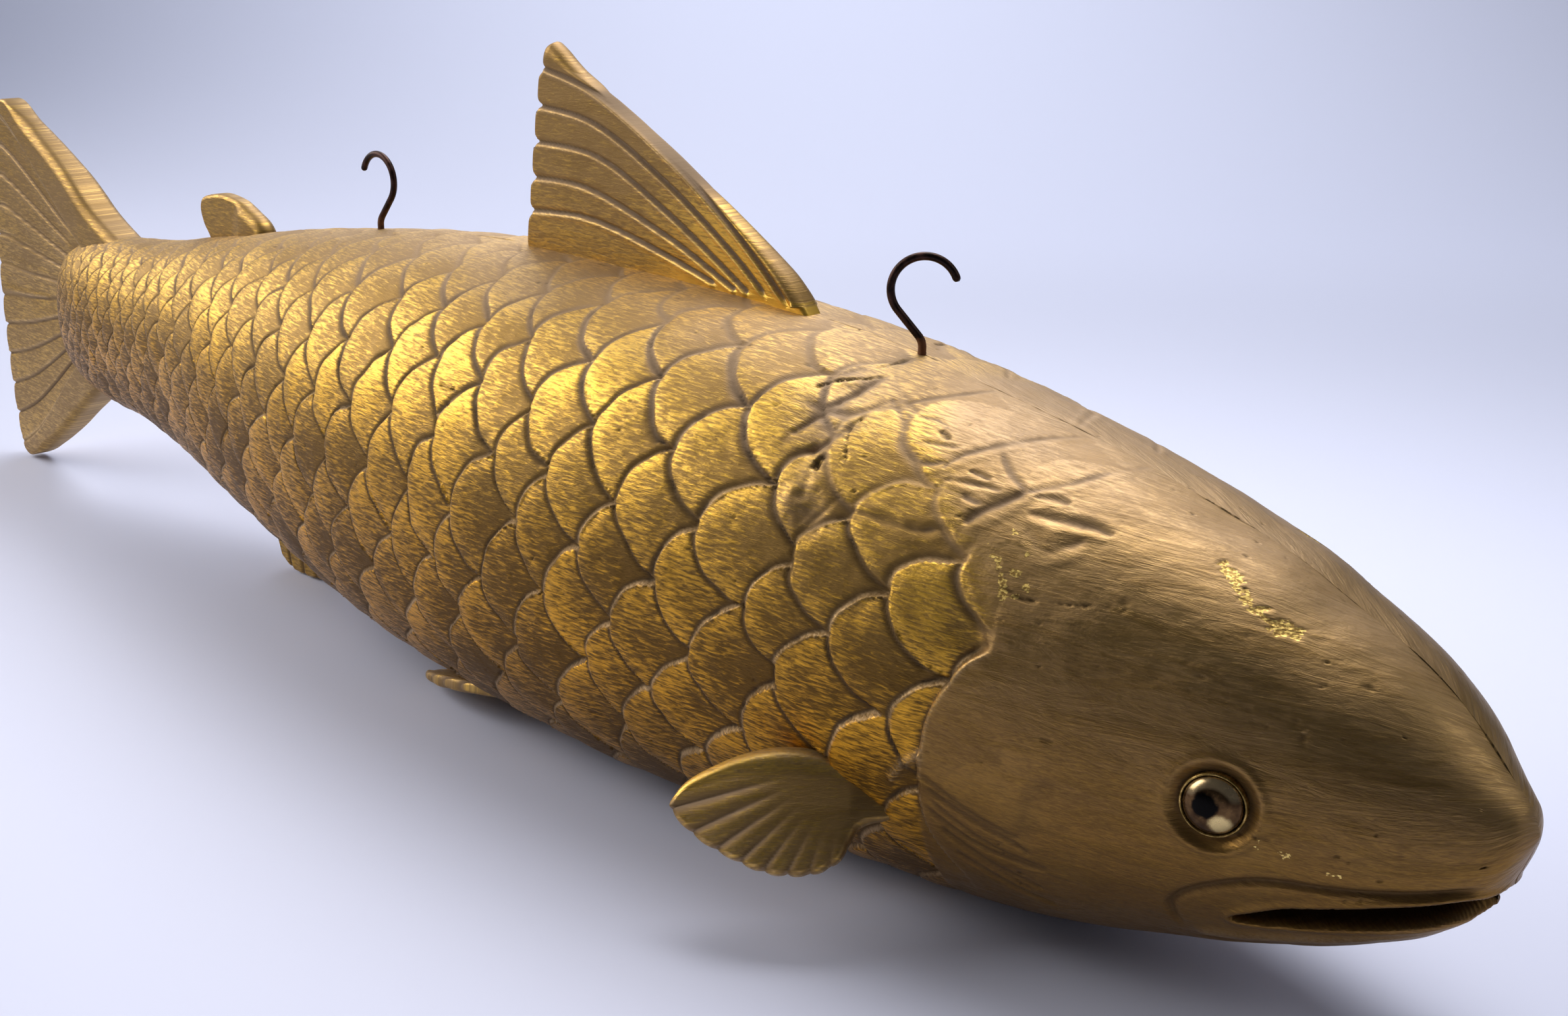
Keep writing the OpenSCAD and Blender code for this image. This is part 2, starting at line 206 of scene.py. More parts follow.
fish = {
    # distance from the snout, top, bottom and half width, as in the boards
    "stations": [
        [0, 114, 106, 4], [3, 119, 98, 11], [12, 129, 79, 21], [29, 147, 61, 36], [52, 164, 48, 50],
        [83, 180, 36, 62], [120, 196, 25, 74], [205, 220, 7, 93], [334, 243, -1, 105], [470, 251, -3, 113],
        [625, 250, 8, 106], [772, 234, 37, 85], [887, 215, 63, 63], [960, 202, 74, 50], [1020, 197, 76, 40],
        [1060, 190, 80, 31], [1090, 181, 87, 22], [1108, 171, 97, 12]],
    "power": 2.2,           # squareness of the section
    "tipRound": 5.0,        # length over which the snout closes
    "headJoint": 303,
    "cuts": [303, 560, 820, 1108],
    "headRows": 292, "trunkRows": 250, "columns": 288,
    "snoutCrowd": 0.06,     # how strongly rows crowd together at the snout
}
scales = {
    "row": 0.08,            # height of a row as a share of the half girth
    "pitch": [[200, 53], [300, 52], [400, 48], [500, 41], [620, 38.5], [700, 35.5], [800, 31],
              [900, 25], [1000, 19], [1110, 15]],   # distance from the snout, length of a scale
    "anchor": 459,          # a scale's tip is here on the odd rows
    "lift": 3.7,            # height of a free edge where the pitch is 41
    "slope": 1.9,           # width of the slope down from a free edge
    "sweep": 2.2,           # how far the ends of an edge curve forwards, in columns
    "spread": 0.57,
    # where the scales begin: share of the half girth, distance from the snout
    "front": [[0, 225], [0.34, 222], [0.40, 219], [0.46, 217], [0.51, 214], [0.56, 207], [0.60, 200],
              [0.63, 194], [0.68, 197], [0.74, 214], [0.80, 236], [0.90, 262], [1.0, 275]],
}
# Lines carved on each side: kind, width, depth, points as distance from the snout and height.
# A step drops behind the gill, a pucker is a cut with swollen lips, a crack is ragged,
# and a peel is flaked paint.
faceLines = [
    ("step", 14, 3.4, [(190, 151), (199, 145), (207, 133), (214, 118),
                       (217, 102), (219, 84), (216, 64), (205, 42)]),
    ("ridge", 2.4, 1.8, [(216, 101), (226, 93), (234, 82)]),
    ("groove", 1.2, 0.9, [(215, 86), (197, 79), (176, 72), (170, 68)]),
    ("groove", 1.2, 0.9, [(216, 76), (195, 66), (176, 62), (163, 62)]),
    ("groove", 1.5, 1.1, [(210, 68), (190, 57), (168, 49)]),
    ("groove", 1.5, 1.0, [(205, 57), (186, 47), (166, 40)]),
    ("groove", 3.2, 0.22, [(159, 105), (167, 98), (170, 86), (171, 74)]),
    ("groove", 1.1, 0.7, [(218, 92), (203, 85), (186, 78), (172, 75)]),
    ("groove", 1.1, 0.7, [(213, 80), (196, 71), (180, 65), (166, 63)]),
    ("groove", 1.1, 0.6, [(207, 65), (190, 55), (174, 47)]),
    ("groove", 1.7, 2.0, [(114, 49), (114, 62), (102, 73), (81, 82), (55, 85), (31, 87), (13, 90)]),
    ("ridge", 4.0, 1.5, [(110, 47), (88, 50), (60, 57), (35, 66), (16, 75)]),
    ("groove", 2.5, 0.8, [(112, 40), (88, 41), (60, 47), (35, 56), (18, 66)]),
]
napeLines = [
    ("pucker", 2.4, 1.8, [(285, 229), (271, 223), (263, 216), (251, 211), (241, 212)]),
    ("pucker", 2.2, 1.5, [(241, 210), (237, 215), (227, 219), (216, 221), (205, 222)]),
    ("pucker", 1.8, 1.8, [(224, 217), (215, 212), (204, 207)]),
    ("pucker", 2.2, 1.2, [(204, 207), (196, 209), (187, 212), (176, 214)]),
    ("pucker", 3.2, 2.6, [(204, 207), (209, 203), (215, 199), (219, 194)]),
    ("pucker", 1.6, 2.3, [(230, 211), (225, 210), (220, 209)]),
    ("pucker", 1.6, 2.0, [(237, 207), (224, 207), (212, 206)]),
    ("pucker", 1.7, 2.6, [(199, 206), (192, 206), (185, 205)]),
    ("pucker", 2.6, 3.4, [(198, 201), (185, 200), (171, 199), (163, 197)]),
    ("pucker", 3.2, 2.0, [(195, 196), (183, 190), (171, 195)]),
    ("pucker", 1.4, 1.6, [(266, 224), (259, 224), (251, 222)]),
    ("pucker", 1.6, 2.2, [(257, 217), (250, 217), (240, 217)]),
    ("pucker", 2.4, 2.6, [(270, 191), (254, 190), (238, 189), (227, 191), (220, 188)]),
    ("pucker", 1.6, 1.8, [(226, 203), (221, 202), (215, 201)]),
    ("pucker", 1.8, 1.2, [(277, 227), (266, 230), (256, 231)]),
]
cracks = [
    ("crack", 1.0, 2.0, [(318, 229), (313, 232), (304, 233), (297, 234)]),
    ("crack", 0.9, 1.6, [(287, 222), (289, 218), (286, 213), (282, 207)]),
    ("crack", 1.4, 2.2, [(293, 208), (294, 205), (294, 202)]),
    ("crack", 0.9, 1.4, [(300, 238), (301, 237), (303, 236)]),
    ("crack", 0.9, 1.2, [(531, 199), (525, 197), (519, 198)]),
    ("crack", 0.9, 1.2, [(253, 221), (250, 220), (247, 219)]),
    ("crack", 0.7, 0.7, [(192, 176), (183, 173), (166, 174), (157, 175)]),
    ("peel", 3.4, 0.55, [(119, 160), (112, 156), (104, 154), (96, 151)]),
    ("peel", 2.6, 0.5, [(154, 177), (148, 177), (141, 174)]),
    ("peel", 4.0, 0.6, [(92, 148), (84, 147), (76, 144), (70, 143)]),
    ("peel", 2.4, 0.5, [(140, 158), (133, 155), (125, 152)]),
    ("peel", 2.6, 0.5, [(72, 166), (64, 163), (56, 160)]),
    ("peel", 3.0, 0.5, [(176, 166), (168, 168), (160, 166)]),
]
mouth = {"line": [(91, 61), (80, 64), (68, 67.5), (43, 73.5), (21, 79), (13, 81), (9.6, 83)],
         "halfHeight": [0.8, 3.6, 5.2, 6.0, 5.2, 4.4, 4.0], "depth": 9}
eye = {"place": (97, 111), "out": 68, "forward": 17, "glass": 12.2, "dish": 18.6, "deep": 3.4}
chip = [(121, 191), (109, 184), (98, 178), (88, 174)]      # bare patch on the brow
# speckled places where the gold shows: line, reach, grain, how sparse, half width, softness, strength
rubs = [
    ([(210, 192), (196, 187), (190, 178)], 16, 4.5, 0.22, 13, 8, 1),
    ([(83, 104), (76, 98), (66, 95), (54, 93)], 12, 3.4, 0.12, 7, 6, 0.7),
]
skin = {
    "scalesEnd": 1106,      # distance from the snout
    "napeFrom": 0.70,       # share of the half girth where the nape's flatter scales begin
    "napeEnd": 312,
    "fillerAt": 297, "fillerWidth": 13, "fillerFold": 1.9,
    "nick": 0.7, "split": 0.5,
}


def stationTable():
    u = np.linspace(0, len(fish["stations"]) - 1, 3000)
    rows = smoothCurve(fish["stations"], u)
    close = 1 - np.clip(rows[:, 0] / fish["tipRound"], 0, 1)
    shrink = np.maximum(np.sqrt(1 - close ** 2), 0.05)
    middle, half = (rows[:, 1] + rows[:, 2]) / 2, (rows[:, 1] - rows[:, 2]) / 2
    return rows[:, 0], middle, half * shrink, rows[:, 3] * shrink


stationD, stationMiddle, stationHalf, stationWide = stationTable()


def sectionAt(d):
    return tuple(np.interp(d, stationD, c) for c in (stationMiddle, stationHalf, stationWide))


def onBody(d, z, side):
    # the point of the smooth body at this distance from the snout and this height
    middle, half, wide = sectionAt(np.asarray(d, float))
    share = np.clip(np.abs((np.asarray(z, float) - middle) / half), 0, 1)
    y = wide * (1 - share ** fish["power"]) ** (1 / fish["power"])
    return np.stack([snoutX - np.asarray(d, float), side * y, np.clip(z, middle - half, middle + half)], -1)


def bodySurface(d, columns, side):
    # sections are superellipses; each row's points are spread evenly along its arc, from belly to back
    angle = np.radians(np.linspace(-90, 90, 721))
    squash = lambda v: np.sign(v) * np.abs(v) ** (2 / fish["power"])
    middle, half, wide = (c[:, None] for c in sectionAt(d))
    y, z = wide * squash(np.cos(angle)), middle + half * squash(np.sin(angle))
    steps = np.hypot(np.diff(y), np.diff(z))
    arc = np.concatenate([np.zeros((len(d), 1)), np.cumsum(steps, 1)], 1)
    girth = arc[:, -1:]
    offset = 2.0 * np.arange(len(d))[:, None]
    wanted = (np.linspace(0, 1, columns)[None, :] + offset).ravel()
    known = (arc / girth + offset).ravel()
    shape = (len(d), columns)
    yy = np.interp(wanted, known, y.ravel()).reshape(shape)
    zz = np.interp(wanted, known, z.ravel()).reshape(shape)
    yy[:, [0, -1]] = 0
    xx = np.broadcast_to((snoutX - d)[:, None], shape)
    return np.stack([xx, side * yy, zz], -1), np.broadcast_to(girth, shape)


def surfaceNormals(points, side):
    along, around = np.gradient(points, axis=0), np.gradient(points, axis=1)
    normal = np.cross(around, along) * -side
    return normal / np.maximum(np.linalg.norm(normal, axis=-1, keepdims=True), 1e-9)


def nearLine(points, line, reach, fineness=8):
    # distance from each point to a smooth line, its place along it, and the way to it, within reach
    line = smoothCurve(line, np.linspace(0, len(line) - 1, fineness * (len(line) - 1) + 1))
    flat = points.reshape(-1, 3)
    close = np.all((flat > line.min(0) - reach) & (flat < line.max(0) + reach), 1)
    gap = np.full(len(flat), 1e3)
    place = np.zeros(len(flat))
    ahead = np.zeros((len(flat), 3))
    chosen = flat[close]
    start, step = line[:-1], np.diff(line, axis=0)
    share = np.einsum("nmk,mk->nm", chosen[:, None] - start[None], step) / np.einsum("mk,mk->m", step, step)
    share = np.clip(share, 0, 1)
    away = chosen[:, None] - (start[None] + share[..., None] * step[None])
    reachTo = np.linalg.norm(away, axis=-1)
    best = reachTo.argmin(1)
    row = np.arange(len(chosen))
    gap[close] = reachTo[row, best]
    place[close] = (best + share[row, best]) / len(step)
    ahead[close] = away[row, best]
    return gap.reshape(points.shape[:-1]), place.reshape(points.shape[:-1]), ahead.reshape(points.shape)


def scaleRelief(d, v, girth, seed):
    # rows of overlapping scales: the forward scale lies over the one behind, and each rises to its free edge
    t = (v - 0.5) * girth
    pitchAt = lambda x: np.interp(x, *np.transpose(scales["pitch"]))
    pitch = pitchAt(d)
    fine = np.linspace(150, 1150, 4001)
    run = np.concatenate([[0], np.cumsum(np.diff(fine) * 2 / pitchAt(fine[1:]))])
    run -= np.interp(scales["anchor"], fine, run)
    wobble = 3.8 * softNoise(d, t, 62, seed) + 1.5 * softNoise(d, t, 12, seed + 3)
    column = np.interp(d + wobble, fine, run)
    drift = 4.5 * softNoise(d, t, 50, seed + 5) + 1.4 * softNoise(d, t, 11, seed + 4)
    row = v / scales["row"] + drift / 30
    gap = np.full(d.shape, 99.0)
    above = np.zeros(d.shape)
    edge = np.full(d.shape, 99.0)
    across = np.zeros(d.shape)
    tone = np.zeros(d.shape)
    lean = np.zeros(d.shape)
    found = np.zeros(d.shape, bool)
    for k in range(-2, 5):
        q = np.floor(column) + k
        odd = np.mod(q + 1, 2)
        j = odd + 2 * np.round((row - odd) / 2)
        off = (row - j) / 2 + 0.05 * (scatter(q, j, seed) - 0.5)
        inside = np.sqrt(np.maximum(1 - (off / scales["spread"]) ** 2, 0.02))
        tip = q + 0.42 * (scatter(q, j, seed + 1) - 0.5) - scales["sweep"] * (1 - inside)
        slope = scales["sweep"] * np.abs(off) / scales["spread"] ** 2 / inside * pitch / 2
        slope = slope / (2 * scales["row"] * girth)
        behind = (column - tip) * pitch / 2 / np.sqrt(1 + slope ** 2)
        covers = (behind <= 0) & ~found
        edge = np.where(covers, -behind, edge)
        across = np.where(covers, off * 2, across)
        tone = np.where(covers, scatter(q, j, seed + 2), tone)
        lean = np.where(covers, scatter(q, j, seed + 3), lean)
        found |= covers
        closer = ~found & (behind < gap)
        gap, above = np.where(closer, behind, gap), np.where(closer, off * 2, above)
    share = np.clip(edge / (0.95 * pitch), 0, 1)
    unit = pitch / 41
    width = scales["slope"] * unit ** 0.6
    shape = -(0.75 + 0.35 * lean) * share ** 1.3 - 0.34 * across ** 2 + 0.45 * (tone - 0.5) * across
    shape = shape * ease((gap + 0.35 * width) / (1.35 * width)) - 0.08 * np.exp(-(edge / (3.0 * unit)) ** 2)
    # lit: painted highlight and shade; ledges on the upper side of each scale's arch, where the light falls,
    # get more of the pale rim colour, and the valleys on the unlit side more of the hollow colour
    lit = 0.12 + 0.88 * ease((above + 0.35) / 0.7)
    wide = 1 + 1.6 * ease((v - 0.48) / 0.25)
    foot = np.exp(-((gap - width) / (0.32 * wide * width)) ** 2)
    shape -= (0.06 + 0.06 * wide) * foot
    ledge = np.exp(-((gap - 0.45 * width) / (0.5 * width)) ** 2) * lit
    split = np.exp(-((gap - 0.8 * width) / 0.55) ** 2) * ease((softNoise(d, t, 8, seed + 6) - 0.30) * 4)
    # partly random tone, partly painted shade: each scale is lighter near its free edge and darker towards
    # its overlapped side, where the next scale shades it
    tone = 0.45 * tone + 0.75 * (1 - share) ** 0.9 + 0.10 * across
    return shape * unit ** 0.6, ledge, foot * (0.75 + 0.25 * (1 - lit)), tone, split


def carve(base, d, v, girth, side):
    # how far each point is carved in or left proud, and what the paint should know about it
    seed = 11 if side < 0 else 47
    t = (v - 0.5) * girth
    front = np.interp(v, *np.transpose(scales["front"]))
    crisp = np.interp(v, [0.6, 0.72], [3, 24])
    scaly = ease((d - front) / crisp + 0.5)
    fade = (1 - 0.72 * ease((v - 0.80) / 0.12)) * (1 - ease((v - 0.955) / 0.045))
    fade = fade * (0.4 + 0.6 * ease((v - 0.04) / 0.16)) * ease((skin["scalesEnd"] - d) / 30)
    nape = ease((v - skin["napeFrom"]) / 0.06) * ease((skin["napeEnd"] - d) / 20)
    strength = scaly * fade * (1 - 0.6 * nape)
    relief, rim, crevice, tone, split = scaleRelief(d, v, girth, seed)
    height = scales["lift"] * relief * strength + 0.8 * scaly
    waves = 0.5 * layeredNoise(d, t, 46, seed + 20)
    height += waves + (0.10 + 0.16 * scaly) * layeredNoise(d, t, 9, seed + 30)
    height += (1 - scaly) * 0.45 * layeredNoise(d, t, 24, seed + 60, 2)
    astray = 9 * softNoise(t, d, 22, seed + 7)
    rough = np.exp(-((d - skin["fillerAt"] - astray) / skin["fillerWidth"]) ** 2)
    rough = rough * ease((v - 0.66) / 0.05) * ease((0.93 - v) / 0.04)
    fold = np.clip(1 - 3.2 * np.abs(softNoise(d + 0.5 * t, 0.8 * t, 17, seed + 41)), 0, 1)
    height += rough * (1.7 * layeredNoise(d, t, 12, seed + 40) - 0.6 - skin["fillerFold"] * fold ** 2)
    nicks = np.clip(softNoise(d + 0.6 * t, 2.6 * t, 4.6, seed + 50) - 0.93, 0, 1) * 14
    height -= nicks * skin["nick"]
    height -= skin["split"] * split * strength
    dark = np.maximum(np.clip(nicks, 0, 1), 0.8 * split * strength)
    height += (1 - scaly) * 0.10 * layeredNoise(d, t, 5, seed + 55, 2)
    bright = np.zeros(d.shape)
    crevice, rim = np.maximum(crevice * strength, 0.9 * rough * fold ** 2), rim * strength
    lines = [(k, w, s, p, 0) for k, w, s, p in faceLines]
    shift = 0 if side < 0 else 9
    lines += [(k, w, s, p, shift) for k, w, s, p in napeLines + cracks]
    for kind, width, depth, line, moved in lines:
        line = onBody([p[0] + moved for p in line], [p[1] for p in line], side)
        gap, place, away = nearLine(base, line, 4 * width + 6 if kind != "step" else 3 * width)
        ends = ease(place / 0.12 + 0.25) * ease((1 - place) / 0.12 + 0.25)
        if kind == "step":
            gone = ease(away[..., 0] * -1 / 1.6) * ends
            height -= depth * gone * np.exp(-np.clip(gap, 0, 99) / width)
            crevice = np.maximum(crevice, gone * np.exp(-(gap / 2) ** 2))
            rim = np.maximum(rim, 0.8 * (1 - gone) * np.exp(-(gap / 1.3) ** 2) * ends)
            continue
        if kind == "crack":
            gap = gap + 0.8 * np.abs(softNoise(d, t, 2.6, seed + 70)) + 0.5 * softNoise(d, t, 7, seed + 71)
        mark = np.exp(-(gap / width) ** 2) * ends
        broad = np.exp(-(gap / (3.2 * width)) ** 2) * ends
        if kind == "pucker":
            lens = 0.30 + 0.75 * np.sqrt(np.clip(4 * place * (1 - place), 0, 1))
            patchy = 0.55 + 0.45 * softNoise(d, t, 13, seed + 72)
            gap = gap + 0.5 * softNoise(d, t, 4, seed + 73)
            mark = np.exp(-(gap / (0.5 * width * lens)) ** 2) * ends
            lips = np.exp(-((gap - 1.7 * width * lens) / (0.9 * width)) ** 2) * ends
            height += depth * (0.15 * lips - 0.46 * mark * patchy - 0.12 * broad)
            crevice = np.maximum(crevice, mark * 0.75 * patchy)
            continue
        if kind == "peel":
            patch = ease(1.6 - gap / width) * ends
            chipped = np.clip(layeredNoise(d, t, 4.2, seed + 75) * 2.2 - 0.35, 0, 1)
            height -= depth * patch * chipped
            dark = np.maximum(dark, 0.30 * patch * chipped)
            continue
        height += depth * mark * (1 if kind == "ridge" else -1)
        if kind == "ridge":
            rim = np.maximum(rim, mark * 0.7)
        elif kind == "crack":
            dark = np.maximum(dark, 0.9 * mark ** 0.7)
        else:
            crevice = np.maximum(crevice, mark * 0.75 * min(depth, 1))
    line = onBody(*np.transpose(mouth["line"]), side)
    gap, place, _ = nearLine(base, line, 14)
    tall = np.interp(place, np.linspace(0, 1, len(mouth["halfHeight"])), mouth["halfHeight"])
    inside = ease((tall - gap) / 2.4 + 0.5)
    height -= mouth["depth"] * inside
    height += 0.9 * np.exp(-((gap - tall - 2.4) / 1.6) ** 2)
    # painted shade: the inside of the mouth slot, and a thin band round it, gets the near-black pit colour
    dark = np.maximum(dark, ease((tall - gap) / 1.5 + 0.9))
    centre = onBody(eye["place"][0], eye["place"][1], side)
    r = np.linalg.norm(base - centre, axis=-1)
    height -= eye["deep"] * ease((eye["dish"] - r) / 5.5) + 5 * ease((eye["glass"] - r) / 1.5)
    height += 0.8 * np.exp(-((r - eye["dish"] - 0.8) / 1.8) ** 2)
    # painted shade: the hollow colour in the groove just outside the eye's ring
    crevice = np.maximum(crevice, 0.75 * np.exp(-((r - 13.6) / 1.4) ** 2))
    gap = nearLine(base, onBody(*np.transpose(chip), side), 12)[0]
    ragged = 2.9 + 2.0 * softNoise(d, t, 5, seed + 80) + 2.6 * layeredNoise(d, t, 1.9, seed + 83)
    bright = np.maximum(bright, ease((ragged - gap) / 0.8))
    height -= 0.35 * bright
    for k, (line, reach, grain, sparse, halfWidth, softness, share) in enumerate(rubs):
        gap = nearLine(base, onBody(*np.transpose(line), side), reach)[0]
        speckle = ease((layeredNoise(d, t, grain, seed + 81 + k) - sparse) * 4)
        bright = np.maximum(bright, share * speckle * ease((halfWidth - gap) / softness))
    return height, {"rim": rim, "crevice": crevice, "tone": tone, "dark": dark, "bright": bright,
                    "smoothHead": 1 - scaly, "filler": rough}


bodyPieces = {
    "names": ["head", "shoulder", "flank", "tailStock"],
    "slots": ["gilt_head", "gilt_scales", "gilt_scales", "gilt_scales"],
    "boards": [["head_cheek"], ["inner_plank", "outer_plank"], ["inner_plank", "outer_plank"],
               ["inner_plank"]],
}


def makeBody(side, material):
    # one long grid from snout to tail is carved, then cut into pieces that share their border points
    tau = np.linspace(0, 1, fish["headRows"])
    soft = fish["snoutCrowd"]
    headD = fish["headJoint"] * (np.sqrt(tau ** 2 + soft ** 2) - soft) / (np.sqrt(1 + soft ** 2) - soft)
    spans = [headD]
    for low, high in zip(fish["cuts"][:-1], fish["cuts"][1:]):
        spans.append(np.linspace(low, high, fish["trunkRows"])[1:])
    d = np.concatenate(spans)
    columns = fish["columns"]
    base, girth = bodySurface(d, columns, side)
    v = np.broadcast_to(np.linspace(0, 1, columns), girth.shape)
    dd = np.broadcast_to(d[:, None], girth.shape)
    outward = surfaceNormals(base, side)
    height, fields = carve(base, dd, v, girth, side)
    height *= ease(dd / 5)
    points = base + outward * height[..., None]
    points[:, [0, -1], 1] = 0
    points[..., 2] = np.maximum(points[..., 2], 0)
    points[..., 1] = side * np.maximum(side * points[..., 1], 0)
    normals = surfaceNormals(points, side)
    fields["up"] = outward[..., 2]
    fields["flow"] = np.stack([dd, (v - 0.5) * girth, np.full(dd.shape, 100.0 * (side + 1))], -1) * mm
    start = 0
    suffix = "Right" if side < 0 else "Left"
    lengths = zip(bodyPieces["names"], spans, bodyPieces["slots"], bodyPieces["boards"])
    for name, span, slot, boards in lengths:
        stop = start + len(span)
        first = max(start - 1, 0)
        part = slice(first, stop)
        rows = stop - first
        index = np.arange(rows * columns).reshape(rows, columns)
        wall = np.stack([index[:-1, 0], index[:-1, -1], index[1:, -1], index[1:, 0]], -1)
        quads = np.concatenate([gridQuads(rows, columns), wall])
        rims = [index[0, :], index[-1, ::-1]]
        piece = makeMesh(name + suffix, points[part], quads, rims,
                         {k: a[part] for k, a in fields.items()}, normals[part])
        nodes = [board + "_" + suffix.lower() for board in boards] + ["spine_board"]
        finishPiece(piece, "fish", material, slot, *nodes)
        start = stop


def evenCurve(points, t):
    # the smooth curve through the points, walked at an even pace from 0 to 1
    fine = smoothCurve(points, np.linspace(0, len(points) - 1, 40 * len(points)))
    walked = np.concatenate([[0], np.cumsum(np.hypot(*np.diff(fine, axis=0).T))])
    return np.stack([np.interp(t, walked / walked[-1], fine[:, k]) for k in (0, 1)], -1)


def crowded(count):
    # even steps from 0 to 1, drawn closer together at both ends
    t = np.linspace(0, 1, count)
    return t - 0.6 * np.sin(2 * np.pi * t) / (2 * np.pi)


def patch(borders):
    # a sheet between four curves (Coons): the two ruled sheets added, less the one between the corners
    u, w = (crowded(count) for count in borders["counts"])
    bottom, top = evenCurve(borders["bottom"], u)[:, None], evenCurve(borders["top"], u)[:, None]
    left, right = evenCurve(borders["left"], w)[None], evenCurve(borders["right"], w)[None]
    uu, ww = u[:, None, None], w[None, :, None]
    corners = ((1 - uu) * ((1 - ww) * bottom[0, 0] + ww * top[0, 0])
               + uu * ((1 - ww) * bottom[-1, 0] + ww * top[-1, 0]))
    sheet = (1 - ww) * bottom + ww * top + (1 - uu) * left + uu * right - corners
    shape = sheet.shape[:2]
    return sheet, np.broadcast_to(uu[..., 0], shape), np.broadcast_to(ww[..., 0], shape)


def edgeDistance(sheet):
    # distance from each point of a sheet to its rim
    rim = np.concatenate([sheet[0, :], sheet[1:, -1], sheet[-1, -2::-1], sheet[-2::-1, 0]])[::2]
    rim = np.concatenate([rim, rim[:1]])
    start, step = rim[:-1], np.diff(rim, axis=0)
    length = np.maximum(np.einsum("mk,mk->m", step, step), 1e-9)
    gaps = []
    for band in np.array_split(sheet.reshape(-1, 2), 24):
        away = band[:, None] - start[None]
        share = np.clip(np.einsum("nmk,mk->nm", away, step) / length, 0, 1)
        gaps.append(np.linalg.norm(away - share[..., None] * step[None], axis=-1).min(1))
    return np.concatenate(gaps).reshape(sheet.shape[:2])


def rounded(half, edge, radius):
    # half thickness that turns over to the rim as a quarter circle
    radius = np.minimum(radius, half * 0.95)
    inside = np.clip(edge, 0, radius)
    return half - radius + np.sqrt(np.maximum(radius ** 2 - (radius - inside) ** 2, 0))


def makePlate(name, sheet, front, back, place, fields):
    # two faces at their own heights over a flat sheet, joined round the rim
    rows, columns = sheet.shape[:2]
    count = rows * columns
    flat = np.concatenate([sheet, np.zeros((rows, columns, 1))], -1)
    faces = [flat + np.stack([np.zeros_like(front)] * 2 + [h], -1) for h in (front, -back)]
    points = np.concatenate([place(f.reshape(-1, 3)) for f in faces])
    index = np.arange(count).reshape(rows, columns)
    ring = np.concatenate([index[0, :], index[1:, -1], index[-1, -2::-1], index[-2:0:-1, 0]])
    after = np.roll(ring, -1)
    strip = np.stack([ring, after, after + count, ring + count], -1)
    quads = np.concatenate([gridQuads(rows, columns), gridQuads(rows, columns, count)[:, ::-1], strip])
    both = {k: np.concatenate([np.asarray(a).reshape(count, -1)] * 2) for k, a in fields.items()}
    up = np.abs(surfaceNormals(points[:count].reshape(rows, columns, 3), 1)[..., 2].ravel())
    # both faces get a made-up facing from 0.42 to 0.92, so the paint's painted light and shade treat fins as
    # mostly turned up
    both["up"] = 0.42 + 0.5 * np.concatenate([up, up])
    return makeMesh(name, points, quads, (), both)


def uprightPlace(points):
    # from distance and height in the middle plane to the fish's own frame
    return np.stack([snoutX - points[:, 0], -points[:, 2], points[:, 1]], -1)


def turnedPlace(root, turn, side):
    # the plane of a paired fin: turned about X, then Y, then Z, and put at its root
    rx, ry, rz = (Matrix.Rotation(np.radians(a), 3, k) for a, k in zip(turn, "XYZ"))
    turned = np.array(rz @ ry @ rx)
    offset = np.array([snoutX - root[0], root[1], root[2]])
    mirror = np.array([1, -side, 1])
    return lambda points: (points @ turned.T + offset) * mirror


finSmoothness = 0.5     # share of the head's plain finish that shows on a fin


def finFields(sheet, crevice, rim, tone, seed, gold):
    # what the paint should know about a fin
    blank = np.zeros(sheet.shape[:2])
    smooth = finSmoothness * (1 - np.clip(gold, 0, 1)) + blank
    return {
        "crevice": crevice, "rim": rim, "tone": tone + blank, "dark": blank, "bright": blank,
        "smoothHead": smooth, "filler": blank, "finGold": gold + blank,
        "flow": np.concatenate([sheet, np.full(blank.shape + (1,), 37.0 * seed)], -1) * mm,
    }


def signedGap(sheet, line):
    # distance to a carved line, positive below it, and the place along it
    flat = np.concatenate([sheet, np.zeros(sheet.shape[:2] + (1,))], -1)
    gap, place, away = nearLine(flat, [(*p, 0) for p in line], 60)
    return np.where(away[..., 1] < 0, gap, -gap), place


dorsal = {
    "bottom": [(361, 232), (430, 232), (500, 232), (572, 232)],
    "top": [(361, 240), (374, 257), (392, 271), (445, 302), (500, 331), (530, 348), (543, 357),
            (549, 360.5)],
    "left": [(361, 232), (361, 240)],
    "right": [(572, 232), (571.5, 252), (567.5, 285), (562.5, 320), (558.5, 345), (555, 357),
              (549, 360.5)],
    "rays": [[(553, 347), (513, 337), (461, 311), (412, 279), (378, 250)],
             [(560, 328), (513, 322), (461, 298), (417, 271), (392, 252)],
             [(565, 309), (513, 306), (461, 284), (411, 256), (404, 252)],
             [(568, 290), (520, 289), (461, 272), (422, 256), (412, 252)],
             [(571, 272), (526, 274), (490, 269), (444, 258), (426, 253)]],
    "web": 6, "barFoot": 11, "barTop": 6.2, "counts": (230, 170),
}


